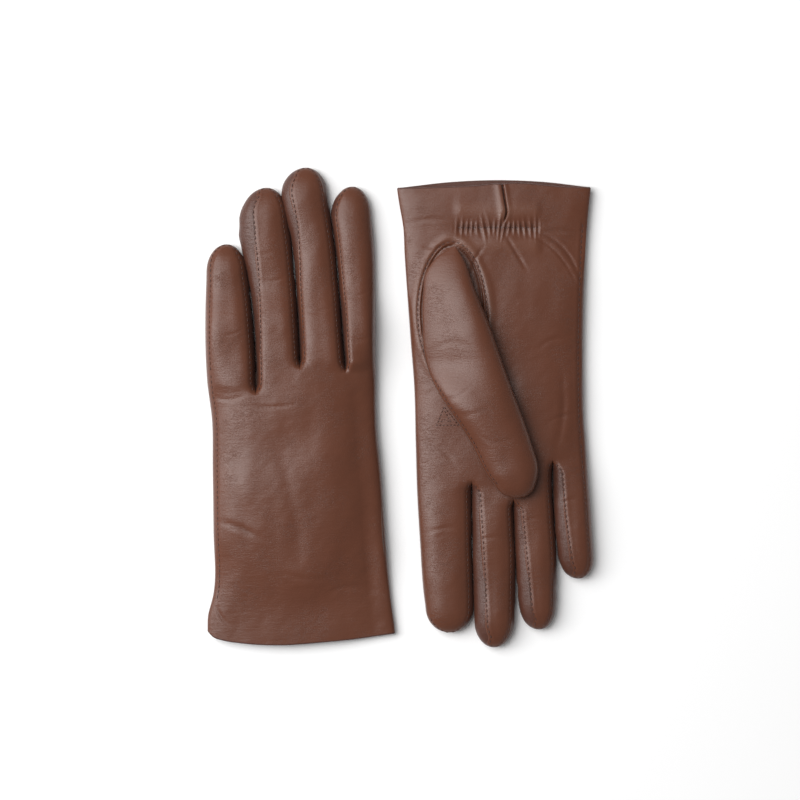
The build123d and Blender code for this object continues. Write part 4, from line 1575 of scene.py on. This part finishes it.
# The side walls' leather is darker as painted shade in the narrow slits between the fingers.
shaded_wall_nappa = leather("side wall nappa", (0.080, 0.028, 0.017), (0.055, 0.018, 0.011), 0.44, grain=0.6)
hem_nappa = leather("turned hem nappa", (0.085, 0.030, 0.019), (0.06, 0.020, 0.013), 0.5, grain=0.7)
print("leathers:", nappa.name, shaded_wall_nappa.name, hem_nappa.name)

# %% [markdown]
# The lining is a fine knit, the elastic is woven, and both are rows of small round stitches:
# two crossed waves, rounded off. The low gaps between the loops are darkened as painted shade.

# %% Cloth
ROWS, rows_in, rows_out = shader_group(
    "rows of loops", [("Position", "Vector", None), ("Across", "Float", 0.0012),
                      ("Along", "Float", 0.0009)], [("Height", "Float"), ("Gaps", "Float")])
axes = add_node(ROWS, "SeparateXYZ", {0: rows_in["Position"]}).outputs
sideways = maths(ROWS, "DIVIDE", axes["X"], rows_in["Across"])
zigzag = maths(ROWS, "PINGPONG", sideways, 0.5)
lengthways = maths(ROWS, "ADD", maths(ROWS, "DIVIDE", axes["Y"], rows_in["Along"]), zigzag)
ribs = maths(ROWS, "ABSOLUTE", maths(ROWS, "SINE", maths(ROWS, "MULTIPLY", sideways, math.pi)))
loops = maths(ROWS, "ABSOLUTE", maths(ROWS, "SINE", maths(ROWS, "MULTIPLY", lengthways, math.pi)))
loop_height = maths(ROWS, "POWER", maths(ROWS, "MULTIPLY", ribs, loops), 0.6)
ROWS.links.new(loop_height, rows_out["Height"])
# Painted shade: a mask that is 1 where the loops are lowest, for darkening the gaps between them.
ROWS.links.new(spread_range(ROWS, loop_height, 0.45, 0.0), rows_out["Gaps"])


def cloth(name, yarn, gap, across, along):
    material, tree, shader, where = new_material(name, Sheen_Weight=0.35, Sheen_Roughness=0.5)
    color = place_group(tree, DYE, {"Position": where, "Dye": (*yarn, 1),
                                    "Deep Dye": (*[0.7 * part for part in yarn], 1)})
    pattern = place_group(tree, ROWS, {"Position": where, "Across": across, "Along": along})
    # The gap colour is painted shade between the loops.
    plug(tree, shader["Base Color"],
         blend_color(tree, pattern["Gaps"], color["Color"], (*gap, 1)))
    fuzz = add_node(tree, "TexNoise", {"Vector": where, "Scale": 3200.0, "Detail": 2.0})
    plug(tree, shader["Roughness"], spread_range(tree, fuzz.outputs[0], 0.2, 0.8, 0.78, 0.95))
    level = maths(tree, "ADD", pattern["Height"], maths(tree, "MULTIPLY", fuzz.outputs[0], 0.4))
    plug(tree, shader["Normal"], add_bump(tree, level, 0.8, 0.0003))
    return material


print(ROWS.name, "has", len(ROWS.nodes), "nodes")

# %% [markdown]
# The thread's twist is a wave that depends on the direction round the thread and moves on with
# the distance along it, which makes slanting grooves; the attribute "strand" holds both for
# each point. The colour is darkened in the grooves as painted shade.

# %% Thread, and the cloth and thread materials
def twisted_thread(name, dye, deep):
    material, tree, shader, where = new_material(name, Sheen_Weight=0.2, Sheen_Roughness=0.35)
    strand = add_node(tree, "Attribute", attribute_name="strand").outputs["Vector"]
    parts = add_node(tree, "SeparateXYZ", {0: strand}).outputs
    turns = maths(tree, "MULTIPLY", parts["X"], 9.0)
    twist = maths(tree, "ADD", maths(tree, "MULTIPLY", maths(tree, "SINE", turns), parts["Y"]),
                  maths(tree, "MULTIPLY", maths(tree, "COSINE", turns), parts["Z"]))
    color = place_group(tree, DYE, {"Position": where, "Dye": (*dye, 1), "Deep Dye": (*deep, 1),
                                    "Mottle": 0.6})
    # Painted shade: the colour is darkened in the grooves of the twist.
    groove_shade = spread_range(tree, twist, 0.2, -1.0)
    painted_groove_shade = (*[0.4 * part for part in deep], 1)
    plug(tree, shader["Base Color"],
         blend_color(tree, maths(tree, "MULTIPLY", groove_shade, 0.5), color["Color"], painted_groove_shade))
    plug(tree, shader["Roughness"], spread_range(tree, twist, -1.0, 1.0, 0.62, 0.42))
    plug(tree, shader["Normal"], add_bump(tree, twist, 0.6, 0.00008))
    return material


# The second colour of each cloth is the painted shade in the gaps between its loops.
knit = cloth("knitted lining", (0.075, 0.036, 0.024), (0.02, 0.009, 0.006), 0.0014, 0.0011)
woven = cloth("woven elastic", (0.06, 0.03, 0.022), (0.015, 0.008, 0.006), 0.0009, 0.0006)
thread = twisted_thread("twisted thread", (0.075, 0.024, 0.014), (0.045, 0.013, 0.008))
print("cloth and thread:", knit.name, woven.name, thread.name)

# %% [markdown]
# Each piece gets its material by what it is called.

# %% Materials on the pieces
FINISHES = (("threads", thread, "thread"), ("elastic_band", woven, "elastic"),
            ("lining", knit, "lining"), ("fourchette", shaded_wall_nappa, "leather"),
            ("turned_hem", hem_nappa, "leather"), ("skin", nappa, "leather"))
counts = {}
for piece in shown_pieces():
    for word, material, slot in FINISHES:
        if word in piece.name:
            piece.data.materials.clear()
            piece.data.materials.append(material)
            counts[material.name] = counts.get(material.name, 0) + 1
            break
    else:
        raise RuntimeError(f"{piece.name} has no finish")
print("pieces by material:", counts)

# %% [markdown]
# The pair lies on a plain pale table, lit by one large soft light from the upper left and a
# bright surrounding, and is seen from straight above through a long lens.

# %% Table, light and camera
select()
bpy.ops.mesh.primitive_plane_add(size=6, location=(0, 0, 0))
table = bpy.context.object
table.name = "pale_table"
matt_white = new_material("pale table", Base_Color=(0.93, 0.93, 0.93, 1), Roughness=0.9)[0]
table.data.materials.append(matt_white)

# Each window: name, place, width and height in metres, and power in watts.
WINDOWS = (("soft_window", (-1.15, 0.66, 1.75), 1.7, 2.3, 54),
           ("low_window", (-1.25, 0.05, 1.05), 0.5, 1.9, 12))
for name, place, width, height, power in WINDOWS:
    bpy.ops.object.light_add(type="AREA", location=place)
    window = bpy.context.object
    window.name = name
    window.data.shape = "RECTANGLE"
    window.data.size = width
    window.data.size_y = height
    window.data.energy = power
    window.rotation_euler = (-window.location).to_track_quat("-Z", "Y").to_euler()

world = bpy.data.worlds.new("pale room")
bpy.context.scene.world = world
world.use_nodes = True
background = world.node_tree.nodes["Background"].inputs
background["Color"].default_value = (1, 1, 1, 1)
background["Strength"].default_value = 0.26

VIEW_WIDTH = 0.4228
CAMERA_HEIGHT = 1.6
bpy.ops.object.camera_add(location=(0.0003, 0.0039, CAMERA_HEIGHT), rotation=(0, 0, 0))
camera = bpy.context.object
camera.name = "camera_above"
camera.data.lens = camera.data.sensor_width * CAMERA_HEIGHT / VIEW_WIDTH
bpy.context.scene.camera = camera
bpy.context.scene.view_settings.view_transform = "Standard"
print("lens in mm:", round(camera.data.lens, 1))
